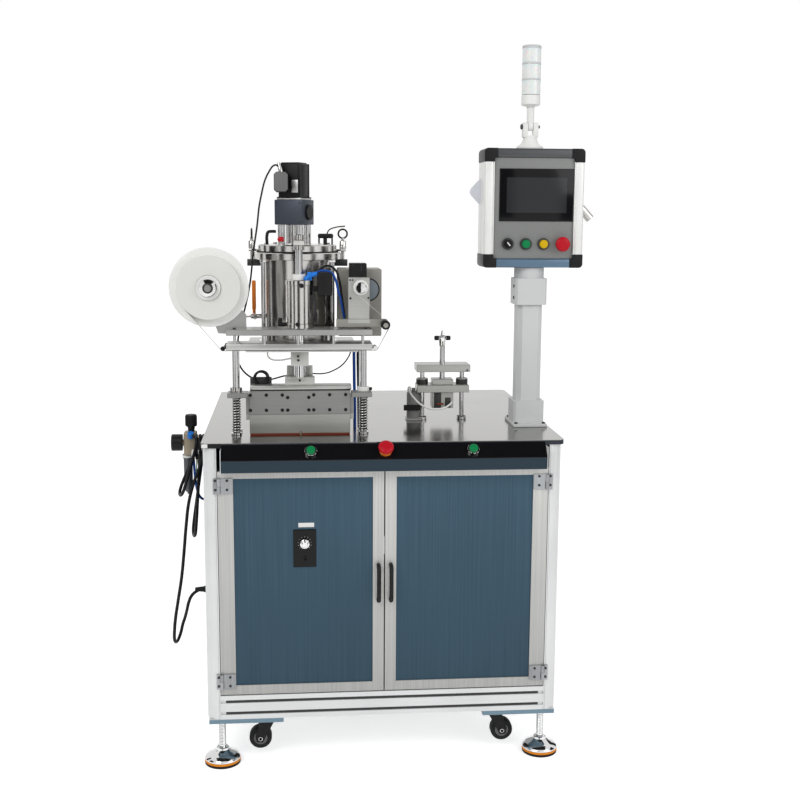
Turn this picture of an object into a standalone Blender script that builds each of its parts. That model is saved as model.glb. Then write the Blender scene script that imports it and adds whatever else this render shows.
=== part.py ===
"""Cosmetic pencil filling machine: a cabinet on levelling feet and casters, with a pneumatic
press under a stirred tank, a film feed, a clamp fixture and a swivelling control box.

Metres, +Z up, +X to the operator's right, the operator stands at -Y. The cabinet is drawn
about its own centre line, and everything hangs on one empty that is moved at the end, so that
the origin lies on the floor under the middle of the machine.
"""
import math

import bmesh
import bpy
from mathutils import Matrix, Vector

# Cabinet
TABLE_WIDTH = 0.900
TABLE_DEPTH = 0.853
TABLE_HEIGHT = 0.837
TABLE_THICKNESS = 0.012
TABLE_CORNER = 0.014
EDGE_OVERHANG = 0.003
FRAME_BOTTOM = 0.126
COLUMN_SIZE = 0.034
COLUMN_ROUND = 0.029
RAIL_DEPTH = 0.030
BEAM_HEIGHT = 0.0625
SLOT_WIDTH = 0.008
SLOT_DEPTH = 0.004
FLOOR_THICKNESS = 0.003
PANEL_THICKNESS = 0.003
PANEL_RECESS = 0.003
VENT_RISE = 0.1115
VENT_HEIGHT = 0.060
CORNER_PLATE = (0.187, 0.100, 0.012)
CORNER_PLATE_CHAMFER = 0.018

# Control fascia and doors
FASCIA_INSET = 0.047
FASCIA_DROP = 0.004
FASCIA_RUN = 0.033
STRIP_HEIGHT = 0.031
STRIP_LEAN = 0.004
FASCIA_BACK = 0.012
DOOR_THICKNESS = 0.020
DOOR_GAP = 0.003
DOOR_OUTER_STILE = 0.038
DOOR_INNER_STILE = 0.028
DOOR_TOP_RAIL = 0.018
DOOR_BOTTOM_RAIL = 0.024
DOOR_PANEL_SETBACK = 0.003
DOOR_PANEL_THICKNESS = 0.004
HANDLE_CENTRE_HEIGHT = 0.4785
HANDLE_PITCH = 0.090
HANDLE_REACH = 0.030
HANDLE_RADIUS = 0.0052
HINGE_HEIGHT = 0.039
HINGE_INSET = 0.0045
HINGE_STANDOFF = 0.005
HINGE_LEAF = 0.003
HINGE_BARREL = 0.0044
HINGE_PIN = 0.0024
HINGE_OUTER_REACH = 0.0134
HINGE_INNER_REACH = 0.034
HINGE_FROM_END = 0.036
START_BUTTON_X = (-0.183, 0.217)
STOP_BUTTON_X = 0.0
SPEED_PLATE = (0.056, 0.003, 0.095)
SPEED_PLATE_X = -0.199
SPEED_PLATE_Z = 0.5685
SPEED_KNOB_RADIUS = 0.0115
SPEED_KNOB_LENGTH = 0.014
SPEED_KNOB_RISE = 0.0135

# Feet and casters
FOOT_INSET = (0.035, 0.0285)
FOOT_RADIUS = 0.045
FOOT_PAD_HEIGHT = 0.010
FOOT_DISH_HEIGHT = 0.030
STEM_RADIUS = 0.0085
CASTER_INSET = (0.152, 0.0685)
CORNER_PLATE_INSET = 0.0045
CASTER_TRAIL = 0.021
CASTER_PLATE_THICKNESS = 0.004
WHEEL_RADIUS = 0.029
WHEEL_WIDTH = 0.026
AXLE_HEIGHT = 0.048
AXLE_RADIUS = 0.004
FORK_CHEEK = 0.003

# Press
PRESS_X = -0.2075
POST_PITCH = 0.321
POST_RADIUS = 0.0085
POST_Y = -0.312
POST_FLANGE_RADIUS = 0.0135
POST_FLANGE_HEIGHT = 0.006
PLATE_WIDTH = 0.363
PLATE_FRONT = -0.344
PLATE_DEPTH = 0.088
PLATE_THICKNESS = 0.0145
LOWER_PLATE_RISE = 0.2185
PLATE_SPACE = 0.0215
SPACER_RADIUS = 0.0038
SPACER_OFFSETS = (-0.1605, -0.0870, -0.0035, 0.0841, 0.1575)
REAR_POST_OFFSET = 0.043
CYLINDER_Y = -0.299
ROD_RADIUS = 0.015
GUIDE_BLOCK = (0.045, 0.043, 0.0435)
HEAD_BAR_RISE = 0.116
HEAD_BAR_HEIGHT = 0.0095
HEAD_DEPTH = 0.046
CROSSHEAD = (0.075, 0.035, 0.0205)
BLOCK_WIDTH = 0.2535
BLOCK_FRONT = -0.322
BLOCK_STEP = 0.0015
FACE_PLATE_HEIGHT = 0.060
HEAT_STRIP_HEIGHT = 0.0045
BLOCK_SEAM = 0.003
EAR = (0.051, 0.047, 0.012)
EAR_RISE = 0.099
SPRING_MEAN_RADIUS = 0.0112
SPRING_WIRE = 0.0012
SPRING_TURNS = 10
SPRING_STEPS = 7

# Air cylinder on the upper plate
BARREL_RADIUS = 0.0355
BARREL_WALL = 0.004
BARREL_LENGTH = 0.1204
END_CAP = 0.012
TAIL_ROD_RADIUS = 0.0094
BUMPER_RADIUS = 0.0165
BUMPER_HEIGHT = 0.014
PISTON_HEIGHT = 0.020
PISTON_RISE = 0.024
STROKE_NUT_RADIUS = 0.0140
STROKE_NUT_RISE = 0.4635
STROKE_NUT_HEIGHT = 0.039
VALVE_BOX = (0.0365, 0.040, 0.058)
VALVE_BOX_X = -0.144
VALVE_BOX_RISE = 0.0817

# Tank and stirrer
TANK_X = -0.2105
TANK_Y = -0.152
TANK_RADIUS = 0.096
TANK_WALL = 0.003
TANK_FLOOR = 0.004
TANK_FLANGE_RADIUS = 0.1136
TANK_FLANGE_HEIGHT = 0.018
TANK_HEIGHT = 0.2351
LID_RADIUS = 0.1025
LID_HEIGHT = 0.018
GASKET_HEIGHT = 0.0025
LEG_RADIUS = 0.0055
LEG_SPREAD = (0.089, 0.060)
TRAY_WIDTH = 0.281
TRAY_OFFSET = 0.0065
TRAY_THICKNESS = 0.0085
TRAY_FRONT = -0.322
TRAY_BACK = -0.032
TRAY_CHAMFER = 0.022
CLAMP_REACH = 0.1185
CLAMP_BOLT_RADIUS = 0.004
CLAMP_NUT_RADIUS = 0.0085
CLAMP_NUT_HEIGHT = 0.015
CLAMP_RING_RADIUS = 0.0115
STIRRER_X = -0.218
STIRRER_TURN = math.radians(-24)
GEARBOX_SIZE = 0.078
GEARBOX_HEIGHT = 0.064
MOTOR_SIZE = 0.060
MOTOR_HEIGHT = 0.095
PILLAR_RADIUS = 0.010
PILLAR_OFFSET = 0.0255
PILLAR_HEIGHT = 0.050
SHAFT_RADIUS = 0.008
BLADE_REACH = 0.074
BLADE_HEIGHT = 0.110
BLADE_THICKNESS = 0.006

# Film feed
FILM_Y = -0.3335
FILM_WIDTH = 0.018
FILM_THICKNESS = 0.0004
REEL_X = -0.4298
REEL_RISE = 0.1034
REEL_FLANGE_RADIUS = 0.098
REEL_ROLL_RADIUS = 0.0785
REEL_KNOB_RADIUS = 0.0213
REEL_PIN_RADIUS = 0.006
PIN_RADIUS = 0.006
PIN_DROP = 0.0020
TAKEUP_X = -0.0551
TAKEUP_RISE = 0.1041
TAKEUP_ROLL_RADIUS = 0.0185
ROLLER_X = 0.0066
ROLLER_RISE = 0.0109
ROLLER_RADIUS = 0.0115
UNIT_FRONT = -0.318

# Clamp fixture
FIXTURE_X = 0.1798
FIXTURE_Y = -0.110
FIXTURE_POST_PITCH = 0.109
FIXTURE_POST_RADIUS = 0.0065
FIXTURE_PLATE = (0.1455, 0.070, 0.020)
FIXTURE_TOP_RISE = 0.134
SLIDE_PLATE_RISE = 0.078
SLIDE_ROD_RADIUS = 0.0075
BUSH_RADIUS = 0.016
BUSH_HEIGHT = 0.015
SIDE_CYLINDER_HEIGHT = 0.077
JAW_HEIGHT = 0.044
WING_RISE = 0.1452

# Control box on its post
HMI_INSET = 0.0515
HMI_Y = -0.185
HMI_BOX = (0.261, 0.100, 0.304)
HMI_RISE = 0.4185
HMI_PANEL_MARGIN = (0.0255, 0.0235)
HMI_PANEL_SETBACK = 0.006
SCREEN_SIZE = (0.192, 0.006, 0.132)
SCREEN_OFFSET = 0.006
SCREEN_RISE = 0.186
HMI_CONTROL_RISE = 0.061
HMI_CONTROL_OFFSETS = (-0.0672, -0.0198, 0.0265, 0.0750)
POST_TUBE = 0.066
POST_SOCKET = 0.082
POST_SOCKET_HEIGHT = 0.066
POST_FLANGE = (0.090, 0.130, 0.008)
POST_CLAMP_HEIGHT = 0.069
COLLAR_RADIUS = 0.039
COLLAR_HEIGHT = 0.034
LEVER_RISE = 0.1445
FLAP_RISE = 0.1605
FLAP_HEIGHT = 0.069
TOWER_FOOT_RADIUS = 0.035
TOWER_OFFSET = -0.0055
TOWER_PIVOT_RISE = 0.057
LAMP_RADIUS = 0.0245
LAMP_CAP_RISE = 0.051
LAMP_LENS_RISE = 0.0795
LAMP_TOP_RISE = 0.2025

# Side of the cabinet
REGULATOR_REACH = 0.0475
REGULATOR_DROP = 0.0475
REGULATOR_Y = -0.160
GAUGE_RADIUS = 0.0222
CABLE_DIAMETER = 0.0084
FOLD_RADIUS = 0.027
HANK_Y = -0.224
GLAND_Y = HANK_Y
GLAND_Z = 0.405
PEG_RADIUS = 0.003
PEG_DROP = 0.025
HANK_REACH = 0.0105

# Push buttons
BEZEL_RADIUS = 0.0148
BEZEL_HEIGHT = 0.0075
CAP_RADIUS = 0.0109
CAP_LENGTH = 0.0135
BUTTON_TRAVEL = 0.004
MUSHROOM_RADIUS = 0.0190
MUSHROOM_HEIGHT = 0.015

# Fits
GAP = 0.0003
RUNNING = 0.0004
SINK = 0.0005
ROUND = 16

PARTS = "cosmetic_pencil_filling_machine"
CORD_PIECES = ("power_cable", "cable_hank")

COLOURS = {
    "aluminium": ((0.70, 0.72, 0.74), 0.38, 0.8),
    "stainless": ((0.62, 0.62, 0.60), 0.18, 1.0),
    "chrome": ((0.80, 0.80, 0.80), 0.10, 1.0),
    "machined": ((0.60, 0.60, 0.58), 0.35, 0.9),
    "dark_blue": ((0.075, 0.13, 0.18), 0.40, 0.3),
    "gloss_black": ((0.012, 0.012, 0.014), 0.12, 0.0),
    "black": ((0.02, 0.02, 0.022), 0.45, 0.0),
    "rubber": ((0.03, 0.03, 0.03), 0.70, 0.0),
    "grey_paint": ((0.62, 0.63, 0.62), 0.45, 0.1),
    "gearbox_paint": ((0.10, 0.115, 0.14), 0.40, 0.4),
    "green": ((0.02, 0.38, 0.14), 0.35, 0.0),
    "yellow": ((0.80, 0.50, 0.02), 0.35, 0.0),
    "red": ((0.68, 0.03, 0.04), 0.32, 0.0),
    "lens": ((0.85, 0.85, 0.80), 0.15, 0.0),
    "film": ((0.88, 0.88, 0.86), 0.30, 0.0),
    "spring_steel": ((0.55, 0.55, 0.55), 0.25, 1.0),
}

# Places worked out from the sizes above
HALF_W = TABLE_WIDTH / 2 - EDGE_OVERHANG
HALF_D = TABLE_DEPTH / 2 - EDGE_OVERHANG
TABLE_UNDER = TABLE_HEIGHT - TABLE_THICKNESS
INNER_W = HALF_W - COLUMN_SIZE
INNER_D = HALF_D - COLUMN_SIZE
BEAM_TOP = FRAME_BOTTOM + BEAM_HEIGHT
FOOT_X, FOOT_Y = HALF_W - FOOT_INSET[0], HALF_D - FOOT_INSET[1]
CASTER_X, CASTER_Y = HALF_W - CASTER_INSET[0], HALF_D - CASTER_INSET[1]
FASCIA_HALF = HALF_W - FASCIA_INSET
FASCIA_TOP = TABLE_HEIGHT - FASCIA_DROP
FASCIA_EDGE = -TABLE_DEPTH / 2 - GAP
STRIP_TOP = FASCIA_TOP - FASCIA_RUN
STRIP_BOTTOM = STRIP_TOP - STRIP_HEIGHT
FASCIA_NORMAL = Vector((0, -1, 1)).normalized()
FASCIA_MIDDLE = (FASCIA_EDGE - FASCIA_RUN / 2, FASCIA_TOP - FASCIA_RUN / 2)
DOOR_BOTTOM = BEAM_TOP + DOOR_GAP
DOOR_TOP = STRIP_BOTTOM - DOOR_GAP
DOOR_FRONT = -HALF_D
DOOR_HALF_WIDTH = INNER_W - DOOR_GAP / 2
LOWER_PLATE_Z = TABLE_HEIGHT + LOWER_PLATE_RISE
LOWER_PLATE_TOP = LOWER_PLATE_Z + PLATE_THICKNESS
UPPER_PLATE_Z = LOWER_PLATE_TOP + PLATE_SPACE
UPPER_PLATE_TOP = UPPER_PLATE_Z + PLATE_THICKNESS
PLATE_BACK = PLATE_FRONT + PLATE_DEPTH
HEAD_BAR_BOTTOM = TABLE_HEIGHT + HEAD_BAR_RISE
EAR_BOTTOM = TABLE_HEIGHT + EAR_RISE
STROKE_NUT_BOTTOM = TABLE_HEIGHT + STROKE_NUT_RISE
TRAY_TOP = LOWER_PLATE_Z + SINK
TANK_BOTTOM = TRAY_TOP + GAP
TANK_FLANGE_TOP = TANK_BOTTOM + TANK_HEIGHT
LID_BOTTOM = TANK_FLANGE_TOP + GASKET_HEIGHT
CLAMP_NUT_Z = TANK_FLANGE_TOP + 0.0086
CLAMP_RING_Z = TANK_FLANGE_TOP + 0.0366
LID_TOP = LID_BOTTOM + LID_HEIGHT
GEARBOX_BOTTOM = LID_TOP + PILLAR_HEIGHT + GAP
BARREL_BOTTOM = UPPER_PLATE_TOP + GAP
VALVE_BOX_BOTTOM = BARREL_BOTTOM + VALVE_BOX_RISE
REEL_Z = UPPER_PLATE_TOP + REEL_RISE
TAKEUP_Z = UPPER_PLATE_TOP + TAKEUP_RISE
ROLLER_Z = UPPER_PLATE_TOP + ROLLER_RISE
FIXTURE_TOP_Z = TABLE_HEIGHT + FIXTURE_TOP_RISE
SLIDE_PLATE_Z = TABLE_HEIGHT + SLIDE_PLATE_RISE
HMI_X = TABLE_WIDTH / 2 - HMI_INSET
HMI_BOTTOM = TABLE_HEIGHT + HMI_RISE
SCREEN_X, SCREEN_Z = HMI_X + SCREEN_OFFSET, HMI_BOTTOM + SCREEN_RISE
HMI_CONTROL_Z = HMI_BOTTOM + HMI_CONTROL_RISE
HMI_CONTROL_X = tuple(HMI_X + offset for offset in HMI_CONTROL_OFFSETS)
HMI_FRONT = HMI_Y - HMI_BOX[1] / 2
HMI_PANEL_Y = HMI_FRONT + HMI_PANEL_SETBACK
HMI_TOP = HMI_BOTTOM + HMI_BOX[2]
COLLAR_TOP = HMI_BOTTOM - GAP
TOWER_PIVOT_Z = HMI_TOP + TOWER_PIVOT_RISE
REGULATOR_X, REGULATOR_Z = -HALF_W - REGULATOR_REACH, TABLE_HEIGHT - REGULATOR_DROP
PEG_Z = TABLE_HEIGHT - PEG_DROP
HANK_X = -HALF_W - HANK_REACH
HANK_PITCH = CABLE_DIAMETER + 2 * GAP
REEL_BRACKET_Y = FILM_Y + FILM_WIDTH / 2 + 0.005
PIN_Z = LOWER_PLATE_Z - PIN_DROP + PIN_RADIUS
LEFT_PIN_X = PRESS_X - PLATE_WIDTH / 2 - PIN_RADIUS - 0.002
RIGHT_PIN_X = PRESS_X + PLATE_WIDTH / 2 + PIN_RADIUS + 0.002


def new_collection(name):
    """A collection linked to the scene."""
    made = bpy.data.collections.new(name)
    bpy.context.scene.collection.children.link(made)
    return made


for old in list(bpy.data.objects):
    bpy.data.objects.remove(old, do_unlink=True)
parts = new_collection(PARTS)
cutters = new_collection("cutters")


def material(name):
    """The Principled material of one finish, made once."""
    if name in bpy.data.materials:
        return bpy.data.materials[name]
    colour, roughness, metallic = COLOURS[name]
    made = bpy.data.materials.new(name)
    made.use_nodes = True
    shader = made.node_tree.nodes["Principled BSDF"]
    shader.inputs["Base Color"].default_value = (*colour, 1.0)
    shader.inputs["Roughness"].default_value = roughness
    shader.inputs["Metallic"].default_value = metallic
    return made


def helper(mesh, location=(0, 0, 0)):
    """A hidden working piece, which a part takes up or is cut by."""
    made = bpy.data.objects.new("piece", mesh)
    made.location = location
    made.hide_render = True
    made.display_type = "WIRE"
    cutters.objects.link(made)
    return made


def box(low, high, bevel=0.0, segments=1):
    """A box between two corners, with its edges rounded if a bevel is given."""
    low, high = Vector(low), Vector(high)
    form = bmesh.new()
    bmesh.ops.create_cube(form, size=1.0)
    bmesh.ops.scale(form, vec=high - low, verts=form.verts)
    mesh = bpy.data.meshes.new("box")
    form.to_mesh(mesh)
    form.free()
    made = helper(mesh, (low + high) / 2)
    if bevel:
        rounding = made.modifiers.new("rounding", "BEVEL")
        rounding.width = bevel
        rounding.segments = segments
    return made


def centred_box(centre, size, bevel=0.0, segments=1):
    """A box about a centre."""
    half = Vector(size) / 2
    return box(Vector(centre) - half, Vector(centre) + half, bevel, segments)


def rod(start, end, radius, sides=ROUND, end_radius=None):
    """A round bar, or a cone, between two points."""
    start, end = Vector(start), Vector(end)
    form = bmesh.new()
    bmesh.ops.create_cone(
        form, cap_ends=True, segments=sides, radius1=radius,
        radius2=radius if end_radius is None else end_radius, depth=(end - start).length)
    mesh = bpy.data.meshes.new("rod")
    form.to_mesh(mesh)
    form.free()
    mesh.shade_smooth()
    mesh.set_sharp_from_angle(angle=math.radians(40))
    made = helper(mesh, (start + end) / 2)
    made.rotation_mode = "QUATERNION"
    made.rotation_quaternion = (end - start).to_track_quat("Z", "Y")
    return made


def turned(profile, base, direction=(0, 0, 1), steps=ROUND, closed=False):
    """A turned piece: (radius, height) points run down the outer side, about a direction."""
    mesh = bpy.data.meshes.new("profile")
    points = [(radius, 0.0, height) for radius, height in profile]
    edges = [(i, i + 1) for i in range(len(points) - 1)]
    if closed:
        edges.append((len(points) - 1, 0))
    mesh.from_pydata(points, edges, [])
    made = helper(mesh, base)
    made.rotation_mode = "QUATERNION"
    made.rotation_quaternion = Vector(direction).to_track_quat("Z", "Y")
    lathe = made.modifiers.new("lathe", "SCREW")
    lathe.axis = "Z"
    lathe.steps = lathe.render_steps = steps
    lathe.use_merge_vertices = True
    lathe.merge_threshold = 0.00001
    return made


def as_mesh(curve_object):
    """The curve object as a closed mesh, with its caps welded on."""
    bpy.context.view_layer.update()
    graph = bpy.context.evaluated_depsgraph_get()
    mesh = bpy.data.meshes.new_from_object(curve_object.evaluated_get(graph))
    form = bmesh.new()
    form.from_mesh(mesh)
    bmesh.ops.remove_doubles(form, verts=form.verts, dist=0.00001)
    bmesh.ops.recalc_face_normals(form, faces=form.faces)
    form.to_mesh(mesh)
    form.free()
    made = helper(mesh)
    made.matrix_world = curve_object.matrix_world
    bpy.data.objects.remove(curve_object, do_unlink=True)
    return made


def smooth_route(points, count):
    """Points along a smooth curve through the given ones, count for each stretch."""
    route = [Vector(p) for p in points]
    ends = [route[0] * 2 - route[1]] + route + [route[-1] * 2 - route[-2]]
    out = []
    for i in range(1, len(ends) - 2):
        a, b, c, d = ends[i - 1:i + 3]
        for step in range(count):
            t = step / count
            out.append(0.5 * (2 * b + (c - a) * t + (2 * a - 5 * b + 4 * c - d) * t ** 2
                              + (3 * b - a - 3 * c + d) * t ** 3))
    return out + [route[-1]]


def tube(points, radius, resolution=2):
    """A round wire, hose or rail through the points."""
    curve = bpy.data.curves.new("tube", "CURVE")
    curve.dimensions = "3D"
    curve.bevel_depth = radius
    curve.bevel_resolution = resolution
    curve.use_fill_caps = True
    spline = curve.splines.new("POLY")
    spline.points.add(len(points) - 1)
    for spot, point in zip(spline.points, points):
        spot.co = (*point, 1.0)
    made = bpy.data.objects.new("tube", curve)
    cutters.objects.link(made)
    return as_mesh(made)


def ring_tube(points, radius, resolution):
    """A round wire bent into a closed ring through the points."""
    curve = bpy.data.curves.new("ring", "CURVE")
    curve.dimensions = "3D"
    curve.bevel_depth = radius
    curve.bevel_resolution = resolution
    spline = curve.splines.new("POLY")
    spline.use_cyclic_u = True
    spline.points.add(len(points) - 1)
    for spot, point in zip(spline.points, points):
        spot.co = (*point, 1.0)
    made = bpy.data.objects.new("ring", curve)
    cutters.objects.link(made)
    return as_mesh(made)


def slab(points, thickness, centre, plane="XZ"):
    """A flat outline with a thickness. Its points are along the plane's two axes."""
    curve = bpy.data.curves.new("outline", "CURVE")
    curve.dimensions = "2D"
    curve.fill_mode = "BOTH"
    curve.extrude = thickness / 2
    spline = curve.splines.new("POLY")
    spline.use_cyclic_u = True
    spline.points.add(len(points) - 1)
    for spot, (across, up) in zip(spline.points, points):
        spot.co = (across, up, 0.0, 1.0)
    made = bpy.data.objects.new("outline", curve)
    cutters.objects.link(made)
    turn = {"XY": Matrix.Identity(4),
            "XZ": Matrix.Rotation(math.radians(90), 4, "X"),
            "YZ": Matrix(((0, 0, 1, 0), (1, 0, 0, 0), (0, 1, 0, 0), (0, 0, 0, 1)))}[plane]
    made.matrix_world = Matrix.Translation(centre) @ turn
    return as_mesh(made)


def arc(centre, radius, start, end, steps):
    """Points of an arc between two angles in degrees."""
    out = []
    for i in range(steps + 1):
        angle = math.radians(start + (end - start) * i / steps)
        out.append((centre[0] + radius * math.cos(angle), centre[1] + radius * math.sin(angle)))
    return out


def combine(target, pieces, operation):
    for piece in pieces:
        step = target.modifiers.new(operation.lower(), "BOOLEAN")
        step.operation = operation
        step.object = piece
        step.solver = "EXACT"
    return target


def join(target, *pieces):
    """Joins working pieces to the target."""
    return combine(target, pieces, "UNION")


def cut(target, *pieces):
    """Cuts working pieces out of the target."""
    return combine(target, pieces, "DIFFERENCE")


def part(name, made, finish, origin=None):
    """Turns a working piece into a named part, with its origin on a joint if one is given."""
    cutters.objects.unlink(made)
    parts.objects.link(made)
    made.name = name
    made.data.name = name
    made.hide_render = False
    made.display_type = "TEXTURED"
    made.data.materials.clear()
    made.data.materials.append(material(finish))
    if origin is not None:
        shift = made.matrix_basis.inverted() @ Vector(origin)
        made.data.transform(Matrix.Translation(-shift))
        made.location = origin
    return made


def empty(name, location=(0, 0, 0), turn=0.0):
    made = bpy.data.objects.new(name, None)
    made.location = location
    made.rotation_euler = (0, 0, turn)
    cutters.objects.link(made)
    return made


def along(base, direction, distance):
    """The point at a distance from a base point."""
    return Vector(base) + Vector(direction).normalized() * distance


def sided_box(side, across, depth, height, bevel=0.0):
    """A box on one side of the middle: across runs outwards from the middle."""
    ends = sorted(side * value for value in across)
    return box((ends[0], depth[0], height[0]), (ends[1], depth[1], height[1]), bevel)


def ring_and_bore(base, direction, bore, depth):
    """A raised bezel on a face, and the tool that bores it and the face behind."""
    inner = bore + 0.0002
    ring = turned([(inner, BEZEL_HEIGHT), (BEZEL_RADIUS - 0.002, BEZEL_HEIGHT),
                   (BEZEL_RADIUS, BEZEL_HEIGHT - 0.002), (BEZEL_RADIUS, -SINK), (inner, -SINK)],
                  base, direction, closed=True)
    tool = rod(along(base, direction, -depth), along(base, direction, 2 * BEZEL_HEIGHT), bore)
    return ring, tool


def push_button(name, base, direction, finish):
    """A round cap that slides in its bezel; its origin lies on the face."""
    made = turned([(0, CAP_LENGTH - 0.002), (CAP_RADIUS - 0.0012, CAP_LENGTH - 0.0012),
                   (CAP_RADIUS, CAP_LENGTH - 0.0024), (CAP_RADIUS, -0.004), (0, -0.004)],
                  base, direction)
    return part(name, made, finish, base)


def mushroom(name, base, direction):
    """An emergency stop: a wide red cap on a neck that slides in its bezel."""
    low = BEZEL_HEIGHT + BUTTON_TRAVEL + 0.001
    high = low + MUSHROOM_HEIGHT
    made = turned([(0, high), (MUSHROOM_RADIUS * 0.6, high - 0.0008),
                   (MUSHROOM_RADIUS - 0.002, high - 0.003), (MUSHROOM_RADIUS, high - 0.0065),
                   (MUSHROOM_RADIUS - 0.0015, low + 0.001), (0.013, low), (CAP_RADIUS, low),
                   (CAP_RADIUS, -0.004), (0, -0.004)], base, direction)
    return part(name, made, "red", base)


def column(name, side, end):
    """A quarter-round corner column with a thin slot beside the panel or door."""
    corner = (HALF_W - COLUMN_ROUND, HALF_D - COLUMN_ROUND)
    outline = [(INNER_W, INNER_D), (INNER_W, HALF_D)]
    outline += arc(corner, COLUMN_ROUND, 90, 0, 10) + [(HALF_W, INNER_D)]
    low, high = FRAME_BOTTOM + SINK + GAP, TABLE_UNDER - GAP
    post = slab([(side * x, end * y) for x, y in outline], high - low,
                (0, 0, (low + high) / 2), "XY")
    depth = sorted((end * (HALF_D - 0.0015), end * (HALF_D + 0.001)))
    cut(post, sided_box(side, (INNER_W + 0.0022, INNER_W + 0.0038), depth,
                        (low - 0.001, high + 0.001)))
    if end < 0:
        for z in hinge_heights():
            join(post, *column_hinge(side, z))
    return part(name, post, "aluminium")


def hinge_heights():
    """The lower ends of the two hinges of a door."""
    return (DOOR_BOTTOM + HINGE_FROM_END - HINGE_HEIGHT / 2,
            DOOR_TOP - HINGE_FROM_END - HINGE_HEIGHT / 2)


def hinge_axis(side):
    return (side * (INNER_W - HINGE_INSET), -HALF_D - HINGE_STANDOFF)


def column_hinge(side, z):
    """The leaf, the lower knuckle and the pin that stay on the column."""
    x, y = hinge_axis(side)
    reach = abs(x)
    middle = z + HINGE_HEIGHT / 2
    front = -HALF_D - GAP - HINGE_LEAF
    leaf = sided_box(side, (reach + 0.0056, reach + HINGE_OUTER_REACH), (front, -HALF_D - GAP),
                     (z, z + HINGE_HEIGHT))
    pad = sided_box(side, (INNER_W + 0.0042, reach + HINGE_OUTER_REACH - 0.002),
                    (front + 0.001, -HALF_D + 0.0015), (z + 0.001, z + HINGE_HEIGHT - 0.001))
    tongue = sided_box(side, (reach, reach + 0.006), (front, -HALF_D - GAP), (z, middle))
    knuckle = rod((x, y, z), (x, y, middle), HINGE_BARREL, 12)
    pin = rod((x, y, middle - 0.001), (x, y, z + HINGE_HEIGHT - 0.001), HINGE_PIN, 12)
    return leaf, pad, tongue, knuckle, pin


def door_hinge(side, z):
    """The leaf and the upper knuckle on the door, and the bore for the pin."""
    x, y = hinge_axis(side)
    reach = abs(x)
    middle = z + HINGE_HEIGHT / 2
    front = -HALF_D - GAP - HINGE_LEAF
    leaf = sided_box(side, (reach - HINGE_INNER_REACH, reach - 0.0056),
                     (front, DOOR_FRONT + SINK), (z, z + HINGE_HEIGHT))
    tongue = sided_box(side, (reach - 0.006, reach), (front, -HALF_D - GAP),
                       (middle + RUNNING, z + HINGE_HEIGHT))
    knuckle = rod((x, y, middle + RUNNING), (x, y, z + HINGE_HEIGHT), HINGE_BARREL, 12)
    bore = rod((x, y, middle - 0.001), (x, y, z + HINGE_HEIGHT - 0.0004),
               HINGE_PIN + RUNNING, 12)
    return (leaf, tongue, knuckle), bore


def table_top():
    rim = arc((TABLE_WIDTH / 2 - TABLE_CORNER, TABLE_DEPTH / 2 - TABLE_CORNER),
              TABLE_CORNER, 0, 90, 6)
    outline = rim + [(-x, y) for x, y in reversed(rim)]
    outline += [(-x, -y) for x, y in rim] + [(x, -y) for x, y in reversed(rim)]
    top = slab(outline, TABLE_THICKNESS, (0, 0, TABLE_HEIGHT - TABLE_THICKNESS / 2), "XY")
    return part("table_top", top, "stainless")


def bottom_frame():
    """Four slotted beams, the floor between them and the corner plates with caster plates."""
    low, high = FRAME_BOTTOM, BEAM_TOP
    frame = box((-INNER_W + GAP, -HALF_D, low), (INNER_W - GAP, HALF_D, high))
    inner = box((-INNER_W + RAIL_DEPTH, -HALF_D + RAIL_DEPTH, low + FLOOR_THICKNESS),
                (INNER_W - RAIL_DEPTH, HALF_D - RAIL_DEPTH, high + 0.01))
    sides = [sided_box(side, (HALF_W - 0.004 - RAIL_DEPTH, HALF_W - 0.004),
                       (-INNER_D + GAP, INNER_D - GAP), (low, high)) for side in (-1, 1)]
    join(frame, *sides)
    cut(frame, inner)
    for end in (-1, 1):
        for z in (low + 0.016, high - 0.016):
            cut(frame, box((-HALF_W, end * HALF_D - SLOT_DEPTH, z - SLOT_WIDTH / 2),
                           (HALF_W, end * HALF_D + SLOT_DEPTH, z + SLOT_WIDTH / 2)))
    for side in (-1, 1):
        for end in (-1, 1):
            join(frame, *caster_mount(side, end))
    return part("bottom_frame", frame, "aluminium")


def caster_mount(side, end):
    """A corner plate, and under it the fixed plate and kingpin of a caster."""
    length, depth, thickness = CORNER_PLATE
    reach = HALF_W - CORNER_PLATE_INSET
    outline = [(reach, HALF_D), (reach - length, HALF_D), (reach - length, HALF_D - depth * 0.55),
               (reach - length + CORNER_PLATE_CHAMFER, HALF_D - depth), (reach, HALF_D - depth)]
    plate = slab([(side * x, end * y) for x, y in outline], thickness,
                 (0, 0, FRAME_BOTTOM + SINK - thickness / 2), "XY")
    foot = (side * FOOT_X, end * FOOT_Y, 0)
    cut(plate, rod(Vector(foot), Vector(foot) + Vector((0, 0, 0.2)), STEM_RADIUS + GAP))
    under = FRAME_BOTTOM + SINK - thickness
    x, y = side * CASTER_X, end * CASTER_Y
    flange = centred_box((x, y, under - CASTER_PLATE_THICKNESS / 2 + SINK),
                         (0.062, 0.070, CASTER_PLATE_THICKNESS), 0.001)
    kingpin = turned([(0, 0.001), (0.012, 0.001), (0.012, -0.005), (0.007, -0.006),
                      (0.007, -0.017), (0.0105, -0.0175), (0.0105, -0.019), (0, -0.019)],
                     (x, y, under - CASTER_PLATE_THICKNESS + SINK), steps=12)
    return plate, flange, kingpin


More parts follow.
